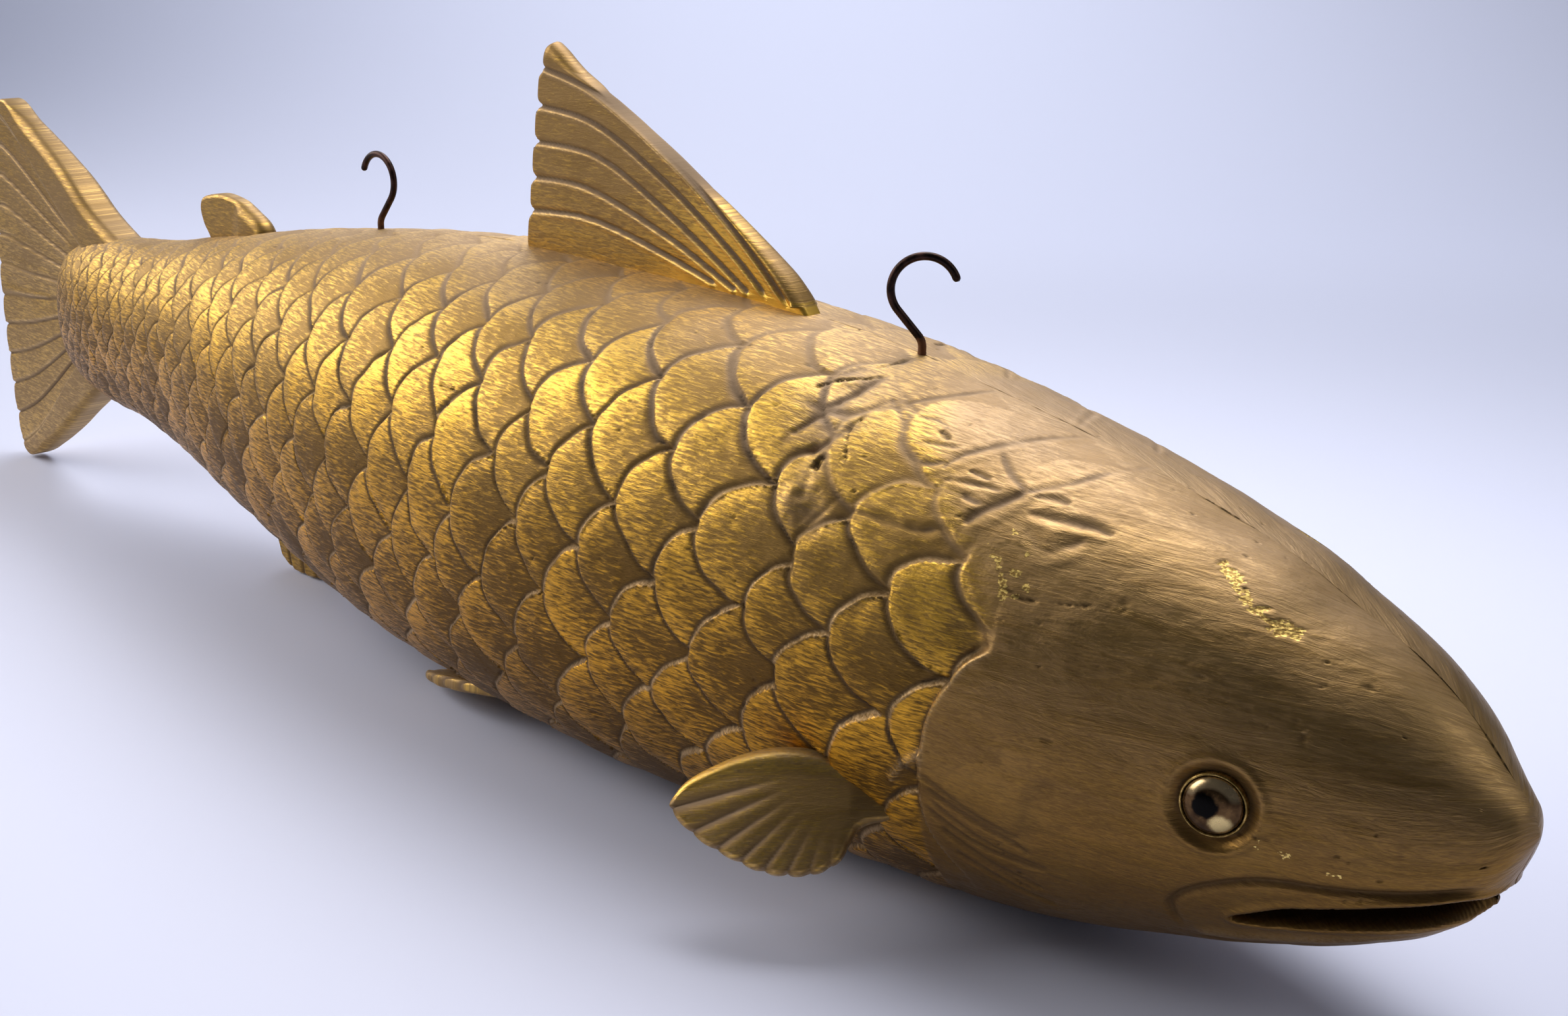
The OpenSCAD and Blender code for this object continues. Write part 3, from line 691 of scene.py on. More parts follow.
def makeDorsal(material):
    sheet, u, w = patch(dorsal)
    notch = sum(np.exp(-((sheet[..., 1] - ray[0][1] + 1) / 2.0) ** 2) for ray in dorsal["rays"])
    ends = [361] + [ray[0][1] for ray in dorsal["rays"]] + [250]
    lobe = sum(np.clip(1 - np.abs((2 * sheet[..., 1] - a - b) / (a - b)) ** 4, 0, 1) * (sheet[..., 1] <= a)
               * (sheet[..., 1] > b) for a, b in zip(ends[:-1], ends[1:]))
    sheet[..., 0] -= (2.6 * notch + 1.8 * (1 - lobe)) * u ** 30 * (sheet[..., 1] < 356)
    edge = edgeDistance(sheet)
    share = np.clip((sheet[..., 1] - 232) / 129, 0, 1)
    bar = dorsal["barFoot"] + (dorsal["barTop"] - dorsal["barFoot"]) * share
    below = signedGap(sheet, dorsal["rays"][0])[0]
    onBar = ease((-below - 0.5) / 6.5)
    half = dorsal["web"] + (bar - dorsal["web"]) * onBar
    half = half - 0.25 * (1 - onBar)
    crevice, rim = np.zeros(u.shape), np.zeros(u.shape)
    tone = np.zeros(u.shape)
    for ray in dorsal["rays"]:
        below, place = signedGap(sheet, ray)
        ends = ease((1 - place) / 0.10 + 0.2)
        groove = np.exp(-(below / 0.95) ** 2) * ends
        lip = np.exp(-((below - 2.0) / 1.1) ** 2) * ends
        half = half - 1.5 * groove + 0.40 * lip
        half = half + ends * np.where(below > 0, 0.55 * np.exp(-below / 8), -0.45 * np.exp(below / 6))
        crevice = np.maximum(crevice, groove)
        rim = np.maximum(rim, lip * 0.7)
        tone = tone + (below > 0) * 0.2
    half += 0.22 * layeredNoise(sheet[..., 0], sheet[..., 1], 20, 91)
    half = np.maximum(half, 4.3)
    radius = 2.4 + 6.0 * onBar * ease((w - 0.6) / 0.3)
    front = rounded(half, edge, radius)
    gold = ease((500 - sheet[..., 0]) / 110) * (1 - onBar) * 0.9 + 0.25 * onBar
    fields = finFields(sheet, crevice, rim, tone, 1, gold)
    piece = makePlate("dorsalFin", sheet, front, front, uprightPlace, fields)
    finishPiece(piece, "fish", material, "gilt_fins", "dorsal_fin")


tail = {
    "bottom": [(1010, 80), (1034, 82), (1058, 80), (1094, 58), (1126, 36), (1160, 16), (1190, 3.5),
               (1199, 2.6)],
    "top": [(1010, 193), (1050, 212), (1085, 236), (1128, 259), (1166, 277), (1178, 280.6), (1186, 279)],
    "left": [(1010, 80), (1010, 137), (1010, 193)],
    "right": [(1199, 2.6), (1210, 9), (1215, 30), (1218, 60), (1219.5, 110), (1217.5, 160), (1211.5, 205),
              (1203, 245), (1196, 268), (1186, 279)],
    "rootHalf": 14.5, "tipHalf": 7, "web": 5.4, "lobes": 11, "counts": (186, 240),
}


def makeTail(material):
    sheet, u, w = patch(tail)
    low = 0.30 + (0.055 - 0.30) * ease(u) ** 0.8
    q = (w - low) / (1 - 2 * low)
    tall = np.hypot(*np.moveaxis(np.diff(sheet, axis=1), -1, 0)).sum(1)[:, None]
    pastBar = lambda over: ease(over * (1 - 2 * low) * tall / 7 + 0.6)
    onBar = np.maximum(pastBar(-q), pastBar(q - 1))
    phase = q * tail["lobes"]
    below = (np.round(phase) - phase) * (1 - 2 * low) * tall / tail["lobes"]
    shown = ease((u - 0.30 - 0.16 * scatter(np.round(phase), 3, 5)) / 0.12) * (1 - onBar)
    lobeEdge = np.abs(np.sin(np.pi * np.clip(phase, 0, tail["lobes"])))
    sheet[..., 0] -= 4.2 * (1 - lobeEdge ** 0.45) * u ** 26 * ease(w / 0.06) * ease((1 - w) / 0.06)
    edge = edgeDistance(sheet)
    taper = np.clip((sheet[..., 0] - 1066) / (1206 - 1066), 0, 1)
    bar = tail["rootHalf"] - 0.9 + (tail["tipHalf"] - tail["rootHalf"] + 0.9) * taper
    root = ease((1075 - sheet[..., 0]) / 55)
    side = np.where(sheet[..., 1] > 137, 1, -1)
    groove = np.exp(-(below / 0.9) ** 2) * shown
    lip = np.exp(-((below * side - 1.8) / 1.0) ** 2) * shown
    half = tail["web"] + (bar - tail["web"]) * np.maximum(onBar, root)
    half = half - 1.1 * groove + 0.5 * lip
    apart = np.abs(below)
    half = half + shown * np.where(below * side > 0, 0.45 * np.exp(-apart / 7), -0.3 * np.exp(-apart / 5))
    half += 0.2 * layeredNoise(sheet[..., 0], sheet[..., 1], 22, 95)
    radius = 2.2 + 5.5 * onBar * ease((0.93 - u) / 0.15)
    front = rounded(np.maximum(half, 4.2), edge, radius)
    tone = 0.5 + 0.2 * scatter(np.floor(phase), 1, 9)
    fields = finFields(sheet, groove, lip * 0.8, tone, 2, 0.12 * (1 - onBar))
    piece = makePlate("tailFin", sheet, front, front, uprightPlace, fields)
    finishPiece(piece, "fish", material, "gilt_fins", "tail_fin")


adipose = {
    "bottom": [(838, 205), (866, 203), (896, 200)],
    "top": [(850, 236.5), (862, 241.3), (882, 244), (898, 242)],
    "left": [(838, 205), (833.5, 222), (839, 231), (850, 236.5)],
    "right": [(896, 200), (900, 213), (907, 222), (910, 232), (907, 239), (898, 242)],
    "crest": [(852, 243), (858, 232), (861, 220), (862, 205)], "half": 7.6, "counts": (110, 100),
}


def makeAdipose(material):
    # a rounded front slope meets a flatter rear along a crest
    sheet = patch(adipose)[0]
    edge = edgeDistance(sheet)
    below = signedGap(sheet, adipose["crest"])[0]
    crestD, crestZ = np.transpose(adipose["crest"][::-1])
    behind = ease((sheet[..., 0] - np.interp(sheet[..., 1], crestZ, crestD)) / 12)
    half = adipose["half"] * (1 - 0.30 * behind) + 0.2 * layeredNoise(sheet[..., 0], sheet[..., 1], 14, 98)
    front = rounded(half, edge, 3.0 + 4.5 * (1 - behind))
    rim = np.exp(-(below / 5) ** 2) * 0.5
    piece = makePlate("adiposeFin", sheet, front, front, uprightPlace,
                      finFields(sheet, np.zeros(edge.shape), rim, 0.5, 3, 0.2))
    finishPiece(piece, "fish", material, "gilt_fins", "adipose_fin")


anal = {
    "bottom": [(772, 15), (784, 5), (804, 1.2), (826, 2), (838, 9)],
    "top": [(770, 50), (794, 55), (818, 59), (840, 62)],
    "left": [(772, 15), (768.5, 32), (770, 50)],
    "right": [(838, 9), (844, 28), (841, 45), (840, 62)],
    "half": 5.8, "rays": 5, "counts": (110, 90),
}


def makeAnal(material):
    sheet, u, w = patch(anal)
    phase = u * anal["rays"]
    gap = (np.round(phase) - phase) * 68 / anal["rays"]
    shown = ease((0.85 - w) / 0.2) * (np.abs(u - 0.5) < 0.45)
    groove = np.exp(-(gap / 1.3) ** 2) * shown
    sheet[..., 1] += 1.6 * np.exp(-(gap / 1.6) ** 2) * (1 - w) ** 14 * (np.abs(u - 0.5) < 0.45)
    half = anal["half"] - 1.4 * groove + 0.5 * np.exp(-((gap - 2.6) / 1.5) ** 2) * shown
    front = rounded(np.maximum(half, 4.2), edgeDistance(sheet), 2.6)
    piece = makePlate("analFin", sheet, front, front, uprightPlace,
                      finFields(sheet, groove, np.zeros(u.shape), 0.5, 4, 0.25))
    finishPiece(piece, "fish", material, "gilt_fins", "anal_fin")


pectoral = {
    "bottom": [(-14, 10), (2, 13), (11, 27), (24, 33), (43, 32), (63, 23), (76, 14), (84, 5)],
    "top": [(-14, -9), (4, -12), (19, -20), (36, -22), (53, -19), (70, -12), (79, -6), (84, 1)],
    "left": [(-14, 10), (-14, 0), (-14, -9)],
    "right": [(84, 5), (85, 3), (84, 1)],
    "root": (250, -88, 68), "turn": (-54, 4, -141),
    "half": 4.0, "rise": 3.2, "fanFrom": (6, -14), "ribs": 17, "counts": (150, 120),
}
pelvic = {
    "bottom": [(-12, 8), (4, 12), (26, 16), (52, 15), (74, 9), (84, 2)],
    "top": [(-12, -9), (4, -13), (26, -16), (50, -14), (72, -8), (84, -1)],
    "left": [(-12, 8), (-12, 0), (-12, -9)],
    "right": [(84, 2), (86, 0.5), (84, -1)],
    "root": (528, -58, 22), "turn": (12, 11, 176),
    "half": 3.4, "rise": 0.5, "fanFrom": (-30, 0), "ribs": 40, "counts": (130, 80),
}


def makePaired(name, fin, node, side, material):
    # ribs fan out from a point near the root and deepen towards the rim, under a thick rounded leading edge
    sheet, u, w = patch(fin)
    away = sheet - np.array(fin["fanFrom"])
    angle = np.arctan2(away[..., 1], away[..., 0])
    reach = np.hypot(away[..., 0], away[..., 1])
    phase = (angle / np.pi + 1) * fin["ribs"] * 1.15
    rib = np.abs(np.sin(np.pi * phase))
    edge = edgeDistance(sheet)
    lead = ease((w - 0.72) / 0.16)
    deep = ease((reach - 26) / 34) * (1 - lead) * ease((0.97 - w) / 0.1)
    trim = 1.6 * (1 - rib ** 0.5) * ease((6 - edge) / 6) * (1 - lead) * ease((reach - 26) / 20)
    sheet = sheet - away / np.maximum(reach, 1)[..., None] * trim[..., None]
    crown = fin["half"] + fin["rise"] * (np.sin(np.pi * np.clip(w * 0.9 + 0.1, 0, 1)) ** 0.8) * ease(u / 0.2)
    crown = crown + 1.6 * np.exp(-((w - 0.90) / 0.09) ** 2) * ease((u - 0.05) / 0.2)
    thinning = 1 - 0.45 * ease((u - 0.6) / 0.4)
    front = rounded(crown * thinning - 1.3 * (1 - rib ** 0.6) * deep, edge, 2.2 + 2.5 * lead)
    back = rounded(fin["half"] * thinning - 0.7 * (1 - rib ** 0.6) * deep, edge, 2.0)
    crevice = (1 - rib ** 0.7) * deep
    # rib crests and the upper leading edge get the pale rim colour: partly rubbed paint, partly painted
    # highlight
    rim = np.maximum(rib ** 4 * deep * 0.6, np.exp(-((w - 0.92) / 0.07) ** 2) * ease((u - 0.1) / 0.2))
    gold = 0.35 * ease((reach - 20) / 40) + 0.45 * lead
    fields = finFields(sheet, crevice, rim, 0.5, 5 if side < 0 else 6, gold)
    piece = makePlate(name, sheet, front, back, turnedPlace(fin["root"], fin["turn"], side), fields)
    finishPiece(piece, "fish", material, "gilt_fins", node)


def makeLathe(name, profile, place, turns=96, looped=False):
    # a profile of radius and height carried round the axis; an open one is closed at both ends
    profile = np.asarray(profile, float)
    if looped:
        profile = np.concatenate([profile, profile[:1]])
    angle = np.linspace(0, 2 * np.pi, turns, endpoint=False)
    radius, height = profile[:, :1], profile[:, 1:]
    points = np.stack([radius * np.cos(angle), radius * np.sin(angle), height + 0 * angle], -1)
    rows = len(profile) - (1 if looped else 0)
    points = points[:rows].reshape(-1, 3)
    index = np.arange(rows * turns).reshape(rows, turns)
    index = np.concatenate([index, index[:, :1]], 1)
    index = np.concatenate([index, index[:1]]) if looped else index
    quads = cellQuads(index)
    rims = () if looped else (index[0, :-1], index[-1, :-1][::-1])
    return makeMesh(name, place(points), quads, rims, {"lathe": points * mm})


def eyePlace(side):
    # the eye's axis looks outwards and a little forwards
    yaw, pitch = Matrix.Rotation(np.radians(eye["forward"]), 3, "Z"), Matrix.Rotation(np.radians(90), 3, "X")
    turned = np.array(yaw @ pitch)
    offset = np.array([snoutX - eye["place"][0], -eye["out"], eye["place"][1]])
    return lambda points: (points @ turned.T + offset) * np.array([1, -side, 1])


eyeball = {"glass": 11.9, "socket": 13.3, "back": -8, "bead": -3.0, "beadRise": 1.3,
           "domeFoot": -3.2, "domeRise": 5.6, "pole": 0.08}


def makeEye(side, ringMaterial, glassMaterial):
    # a ring whose front edge is a half-round bead holds a dome: height is the root of 1 less radius squared
    suffix = "Right" if side < 0 else "Left"
    node = suffix.lower()
    bead = np.linspace(0, np.pi, 25)
    glass, socket, back, pole = (eyeball[k] for k in ("glass", "socket", "back", "pole"))
    middle, half = (glass + socket) / 2, (socket - glass) / 2
    profile = [(glass, back), (socket, back)]
    profile += list(zip(middle + half * np.cos(bead), eyeball["bead"] + eyeball["beadRise"] * np.sin(bead)))
    ring = makeLathe("eyeRing" + suffix, profile, eyePlace(side), 112, True)
    finishPiece(ring, "fish", ringMaterial, "gilt_ring", "eye_ring_" + node)
    radius = np.concatenate([[glass], glass * np.cos(np.radians(np.arange(0, 89.6, 2.0))), [pole]])
    rise = np.sqrt(np.maximum(1 - (radius / glass) ** 2, 0))
    height = eyeball["domeFoot"] + eyeball["domeRise"] * rise
    height[0] = back
    profile = [(pole, back)] + list(zip(radius, height))
    dome = makeLathe("eyeGlass" + suffix, profile, eyePlace(side), 96)
    finishPiece(dome, "fish", glassMaterial, "eye_glass", "eye_glass_" + node)


hook = {
    "wire": 1.9, "bowl": 15, "bowlHeight": 30.5, "bendTurn": 40, "bend": 8, "bowlStart": 16,
    "shank": 2.0, "shankDepth": 40, "threadFrom": 9, "threadPitch": 1.9, "threadDepth": 0.4, "sides": 22,
    "front": {"d": 300, "seat": 238, "facing": 40, "body": "front_hook", "node": "hook_front"},
    "rear": {"d": 713, "seat": 241, "facing": 180, "body": "rear_hook", "node": "hook_rear"},
}


def hookPath():
    # from the tip over the round bowl, straight, back through a smaller bend and down the shank
    turn = np.radians(hook["bendTurn"])
    lean = (hook["bowl"] * np.cos(turn) - hook["bend"] * (1 - np.cos(turn))) / np.sin(turn)
    top = hook["bowlHeight"] - (hook["bowl"] + hook["bend"]) * np.sin(turn) - lean * np.cos(turn)
    over = np.radians(np.linspace(hook["bowlStart"], 180 + hook["bendTurn"], 64))
    back = np.linspace(turn, 0, 20)
    down = np.linspace(top - 0.6, -hook["shankDepth"], 400)
    x = np.concatenate([hook["bowl"] * np.cos(over), hook["bend"] * (np.cos(back) - 1), 0 * down])
    z = np.concatenate([hook["bowlHeight"] + hook["bowl"] * np.sin(over),
                        top + hook["bend"] * np.sin(back), down])
    heading = np.concatenate([over + np.pi / 2, back - np.pi / 2, 0 * down - np.pi / 2])
    return x, z, heading


def makeHook(which, material):
    # a round wire carried along the path; below the seat its radius follows a thread that fades to a point
    place = hook[which]
    x, z, heading = (c[:, None] for c in hookPath())
    angle = np.linspace(0, 2 * np.pi, hook["sides"], endpoint=False)[None, :]
    thread = np.abs(np.mod(z / hook["threadPitch"] + angle / (2 * np.pi), 1) * 2 - 1)
    threaded = ease((-z - hook["threadFrom"]) / 3) * ease((z + hook["shankDepth"]) / 4)
    point = ease((z + hook["shankDepth"]) / 6) * 0.85 + 0.15
    radius = np.where(z < 2, hook["shank"] * point, hook["wire"]) - hook["threadDepth"] * thread * threaded
    start = np.arange(len(x))[:, None]
    radius = radius * np.sqrt(np.clip(1 - (1 - start / 1.6).clip(0) ** 2, 0.35, 1))
    px = x + radius * np.cos(angle) * np.sin(heading)
    pz = z - radius * np.cos(angle) * np.cos(heading)
    py = radius * np.sin(angle) + 0 * x
    facing = np.radians(place["facing"])
    points = np.stack([snoutX - place["d"] + px * np.cos(facing) - py * np.sin(facing),
                       px * np.sin(facing) + py * np.cos(facing), place["seat"] + pz], -1)
    rows, sides = px.shape
    index = np.arange(rows * sides).reshape(rows, sides)
    index = np.concatenate([index, index[:, :1]], 1)
    quads = cellQuads(index)
    rims = (index[0, :-1], index[-1, :-1][::-1])
    piece = makeMesh("hook" + which.capitalize(), points, quads, rims)
    finishPiece(piece, place["body"], material, "hook_iron", place["node"])


washer = {"radius": 5, "hole": 2.35, "thick": 1.4, "sink": 1.0}


def makeWasher(which, material):
    place = hook[which]
    hole, rim = washer["hole"], washer["radius"]
    low = place["seat"] - washer["sink"]
    high = low + washer["thick"]
    profile = [(hole, low), (rim, low), (rim, high - 0.5), (rim - 0.15, high - 0.2), (rim - 0.5, high),
               (hole + 0.5, high), (hole + 0.1, high - 0.2), (hole, high - 0.5)]
    centre = np.array([snoutX - place["d"], 0, 0])
    piece = makeLathe("washer" + which.capitalize(), profile, lambda p: p + centre, 48, True)
    finishPiece(piece, "fish", material, "washer_iron", "washer_" + which)


def feed(tree, node, **inputs):
    # sets or links a node's inputs by name, with _ for a space, or by number as n0, n1
    for key, value in inputs.items():
        socket = node.inputs[int(key[1:]) if key[0] == "n" and key[1:].isdigit() else key.replace("_", " ")]
        if isinstance(value, bpy.types.NodeSocket):
            tree.links.new(value, socket)
        elif socket.type == "RGBA":
            socket.default_value = (*value, 1)
        else:
            socket.default_value = value
    return node


def put(tree, kind, settings=None, **inputs):
    # adds a node, sets what it is, then its inputs
    node = tree.nodes.new(kind)
    for key, value in (settings or {}).items():
        setattr(node, key, value)
    return feed(tree, node, **inputs)


def sums(tree, operation, a, b=0.0, clamp=False):
    return put(tree, "ShaderNodeMath", {"operation": operation, "use_clamp": clamp}, n0=a, n1=b).outputs[0]


def plus(tree, a, b):
    return sums(tree, "ADD", a, b)


def times(tree, a, b):
    return sums(tree, "MULTIPLY", a, b)


def weighted(tree, parts):
    # the sum of each value times its weight
    total = times(tree, *parts[0])
    for value, weight in parts[1:]:
        total = plus(tree, total, times(tree, value, weight))
    return total


def between(tree, value, low, high, toLow=0.0, toHigh=1.0):
    # eased step from low to high
    return put(tree, "ShaderNodeMapRange", {"interpolation_type": "SMOOTHSTEP"}, Value=value, From_Min=low,
               From_Max=high, To_Min=toLow, To_Max=toHigh).outputs["Result"]


def mixed(tree, share, a, b):
    return put(tree, "ShaderNodeMix", {"data_type": "RGBA"}, n0=share, n6=a, n7=b).outputs[2]


def stretched(tree, vector, scale, turn=0.0, detail=3.0, rough=0.55, warp=0.0):
    # noise whose grain is longer one way than the other
    mapping = put(tree, "ShaderNodeMapping", None, Vector=vector, Scale=scale, Rotation=(0, 0, turn))
    return put(tree, "ShaderNodeTexNoise", None, Vector=mapping.outputs[0], Scale=1.0, Detail=detail,
               Roughness=rough, Distortion=warp).outputs["Fac"]


def bumped(tree, height, strength, distance):
    bump = put(tree, "ShaderNodeBump", None, Height=height, Strength=strength, Distance=distance)
    return bump.outputs[0]


def newGroup(name, inputs, outputs):
    group = bpy.data.node_groups.new(name, "ShaderNodeTree")
    for label, kind in inputs:
        group.interface.new_socket(label, in_out="INPUT", socket_type="NodeSocket" + kind)
    for label, kind in outputs:
        group.interface.new_socket(label, in_out="OUTPUT", socket_type="NodeSocket" + kind)
    return group, group.nodes.new("NodeGroupInput"), group.nodes.new("NodeGroupOutput")


def brushMarks():
    # dry-brushed bronze powder: long streaks, finer hairs in them, and clouds where more or less paint took
    labels = ("Streak", "Hair", "Cloud", "Speck")
    group, given, made = newGroup("brushMarks", [("Vector", "Vector")], [(n, "Float") for n in labels])
    vector = given.outputs["Vector"]
    streak = stretched(group, vector, (130, 800, 60), -0.26, 3.0, 0.62, 0.6)
    hair = stretched(group, vector, (320, 2400, 120), -0.26, 2.0, 0.65)
    cloud = stretched(group, vector, (16, 24, 9), 0.0, 3.0, 0.6)
    speck = stretched(group, vector, (700, 900, 500), 0.0, 2.0, 0.5)
    feed(group, made, Streak=streak, Hair=hair, Cloud=cloud, Speck=speck)
    return group


gilt = {
    # gold, bronze and the head colour each have a lighter copy for faces turned up and a darker copy for
    # faces turned down: painted light and shade
    "gold": (0.90, 0.55, 0.085),
    "goldShaded": (0.74, 0.35, 0.022),
    "bronze": (0.30, 0.178, 0.050),
    "bronzeShadedAndDark": (0.135, 0.066, 0.010),
    "darkPaintAndShade": (0.050, 0.024, 0.005),
    "dust": (0.36, 0.245, 0.150),
    "rubbedAndHighlight": (0.66, 0.46, 0.25),
    "head": (0.155, 0.076, 0.022),
    "headTopLit": (0.35, 0.222, 0.100),
    "leaf": (0.92, 0.66, 0.20),
    "pit": (0.018, 0.009, 0.004),
}


def giltPaint(marks):
    # every mask comes from the carving: rims get a pale colour that is partly rubbed paint and partly
    # painted highlight, hollows hold dust above and painted shadow below
    names = ("Up", "Rim", "Crevice", "Tone", "Dark", "Bright", "Smooth", "Filler", "Gold")
    made = [("Color", "Color"), ("Roughness", "Float"), ("Height", "Float"), ("Metal", "Float")]
    group, given, made = newGroup("giltPaint", [("Vector", "Vector")] + [(n, "Float") for n in names], made)
    get = given.outputs
    brush = put(group, "ShaderNodeGroup", {"node_tree": marks}, Vector=get["Vector"])
    streak, hair, cloud, speck = (brush.outputs[k] for k in ("Streak", "Hair", "Cloud", "Speck"))
    step = lambda *values: between(group, *values)
    lay = lambda share, under, over: mixed(group, share, under, over)
    part = lambda value, share: times(group, value, share)

    # where the surface faces: up, at the very top, or down; facing up picks the lighter copies of the
    # colours and facing down the darker ones, painted light and shade, while the very top gathers dust
    litFromAbove = step(get["Up"], -0.25, 0.75)
    low = step(get["Up"], 0.05, -0.85)
    crown = plus(group, plus(group, get["Up"], part(cloud, 0.35)), part(get["Crevice"], 0.4))
    crown = step(crown, 0.86, 1.28)

    # bronze ground with gold brushed over it, each as a lighter copy on faces turned up and a darker copy on
    # faces turned down: painted light and shade
    base = lay(litFromAbove, gilt["bronzeShadedAndDark"], gilt["bronze"])
    base = lay(step(hair, 0.40, 0.75, 0.0, 0.7), base, gilt["darkPaintAndShade"])
    base = lay(step(litFromAbove, 0.2, 1.0, 0.0, 0.72), base, gilt["bronze"])
    gold = lay(litFromAbove, gilt["goldShaded"], gilt["gold"])
    # a little less gold on faces turned down: painted shade
    amount = weighted(group, [(streak, 1.45), (cloud, 0.5), (get["Tone"], 0.42), (hair, 0.35),
                              (get["Gold"], 0.6), (get["Crevice"], -0.5), (low, -0.08)])
    color = lay(step(amount, 1.30, 1.88), base, gold)

    # the head's plainer, browner paint, wiped on in broad sweeps, darker on faces turned down and lighter on
    # faces turned up: painted shade and light
    head = lay(litFromAbove, gilt["head"], gilt["headTopLit"])
    sweep = stretched(group, get["Vector"], (22, 120, 9), -0.12, 5.0, 0.66, 0.9)
    head = lay(step(sweep, 0.42, 0.68, 0.0, 0.42), head, gilt["bronzeShadedAndDark"])
    head = lay(step(hair, 0.3, 0.8, 0.0, 0.13), head, gilt["gold"])
    head = lay(step(cloud, 0.45, 0.75, 0.0, 0.22), head, gilt["bronze"])
    color = lay(part(get["Smooth"], 0.93), color, head)

    # dust on top, painted shade in the hollows that face down and dust in those that face up, rims partly
    # rubbed and partly painted highlight, filler, bare leaf, dark cracks and nicks, and the mouth slot
    # darkened as painted shade
    dusty = times(group, crown, step(speck, 0.2, 0.8, 0.55, 0.85))
    color = lay(part(dusty, 0.92), color, gilt["dust"])
    # painted shade: hollows turned down get the dark shade colour, those turned up get dust
    hollow = lay(step(get["Up"], 0.35, 0.9, 0.0, 0.75), gilt["darkPaintAndShade"], gilt["dust"])
    color = lay(part(get["Crevice"], 0.72), color, hollow)
    # pale rims, in patches: partly rubbed paint, partly painted highlight on edges that catch the light
    patchy = step(plus(group, speck, cloud), 0.75, 1.25, 0.05, 0.50)
    color = lay(times(group, get["Rim"], patchy), color, gilt["rubbedAndHighlight"])
    color = lay(part(get["Filler"], 0.35), color, gilt["dust"])
    ragged = plus(group, get["Bright"], part(speck, 0.9))
    leaf = lay(step(speck, 0.42, 0.62), gilt["bronze"], gilt["leaf"])
    color = lay(step(ragged, 0.98, 1.12), color, leaf)
    color = lay(part(get["Dark"], 0.9), color, gilt["pit"])

    rough = step(amount, 1.2, 1.75, 0.52, 0.35)
    rough = plus(group, plus(group, rough, part(dusty, 0.22)), part(get["Crevice"], 0.2))
    metal = sums(group, "SUBTRACT", 0.86, part(dusty, 0.5))
    metal = sums(group, "SUBTRACT", metal, part(get["Crevice"], 0.4), True)
    height = plus(group, part(streak, 0.8), part(hair, 0.5))
    height = times(group, height, sums(group, "SUBTRACT", 1.0, part(get["Smooth"], 0.7)))
    height = plus(group, height, part(speck, 0.25))
    height = plus(group, height, part(times(group, sweep, get["Smooth"]), 2.2))
    feed(group, made, Color=color, Roughness=rough, Height=height, Metal=metal)
    return group


def newMaterial(name):
    material = bpy.data.materials.new(name)
    material.use_nodes = True
    tree = material.node_tree
    return material, tree, tree.nodes["Principled BSDF"]


def field(tree, name, output="Fac"):
    return put(tree, "ShaderNodeAttribute", {"attribute_name": name}).outputs[output]


def giltMaterial(name, paint, bump):
    material, tree, shader = newMaterial(name)
    sources = {"Up": "up", "Rim": "rim", "Crevice": "crevice", "Tone": "tone", "Dark": "dark",
               "Bright": "bright", "Smooth": "smoothHead", "Filler": "filler", "Gold": "finGold"}
    masks = {label: field(tree, attribute) for label, attribute in sources.items()}
    made = put(tree, "ShaderNodeGroup", {"node_tree": paint}, Vector=field(tree, "flow", "Vector"), **masks)
    made = made.outputs
    feed(tree, shader, Base_Color=made["Color"], Roughness=made["Roughness"], Metallic=made["Metal"],
         Normal=bumped(tree, made["Height"], bump, 0.0006))
    return material


ringFinish = {"low": (0.20, 0.125, 0.03), "high": (0.62, 0.42, 0.14), "metal": 0.9}


def ringMaterial():
    material, tree, shader = newMaterial("ringGilt")
    vector = put(tree, "ShaderNodeTexCoord").outputs["Object"]
    patchy = stretched(tree, vector, (260, 260, 260), 0, 3.0, 0.6)
    fine = stretched(tree, vector, (1400, 1400, 1400), 0, 2.0, 0.6)
    color = mixed(tree, between(tree, patchy, 0.38, 0.66), ringFinish["low"], ringFinish["high"])
    feed(tree, shader, Base_Color=color, Roughness=between(tree, patchy, 0.3, 0.7, 0.42, 0.24),
         Metallic=ringFinish["metal"], Normal=bumped(tree, fine, 0.25, 0.0004))
    return material


# lengths in metres, across the dome and up it
glassFinish = {
    "horn": (0.060, 0.030, 0.012), "vein": (0.16, 0.088, 0.034), "metal": 0.85, "specular": 0.3,
    # the pale crescent on top is a painted highlight and the gold patch low down a painted reflection
    "paintedHighlight": (0.66, 0.48, 0.25),
    "patch": (0.74, 0.55, 0.24), "patchAt": (0.0040, -0.0058),
    "pupil": (0.002, 0.0015, 0.001), "pupilAt": (-0.0022, 0.0012),
    "rim": (0.05, 0.028, 0.010), "ragged": 0.003,
}


def awayFrom(tree, x, y, point=(0.0, 0.0)):
    # distance from a point: the root of the sum of the squares of the two differences
    dx, dy = (sums(tree, "SUBTRACT", a, b) for a, b in zip((x, y), point))
    return sums(tree, "SQRT", plus(tree, times(tree, dx, dx), times(tree, dy, dy)))


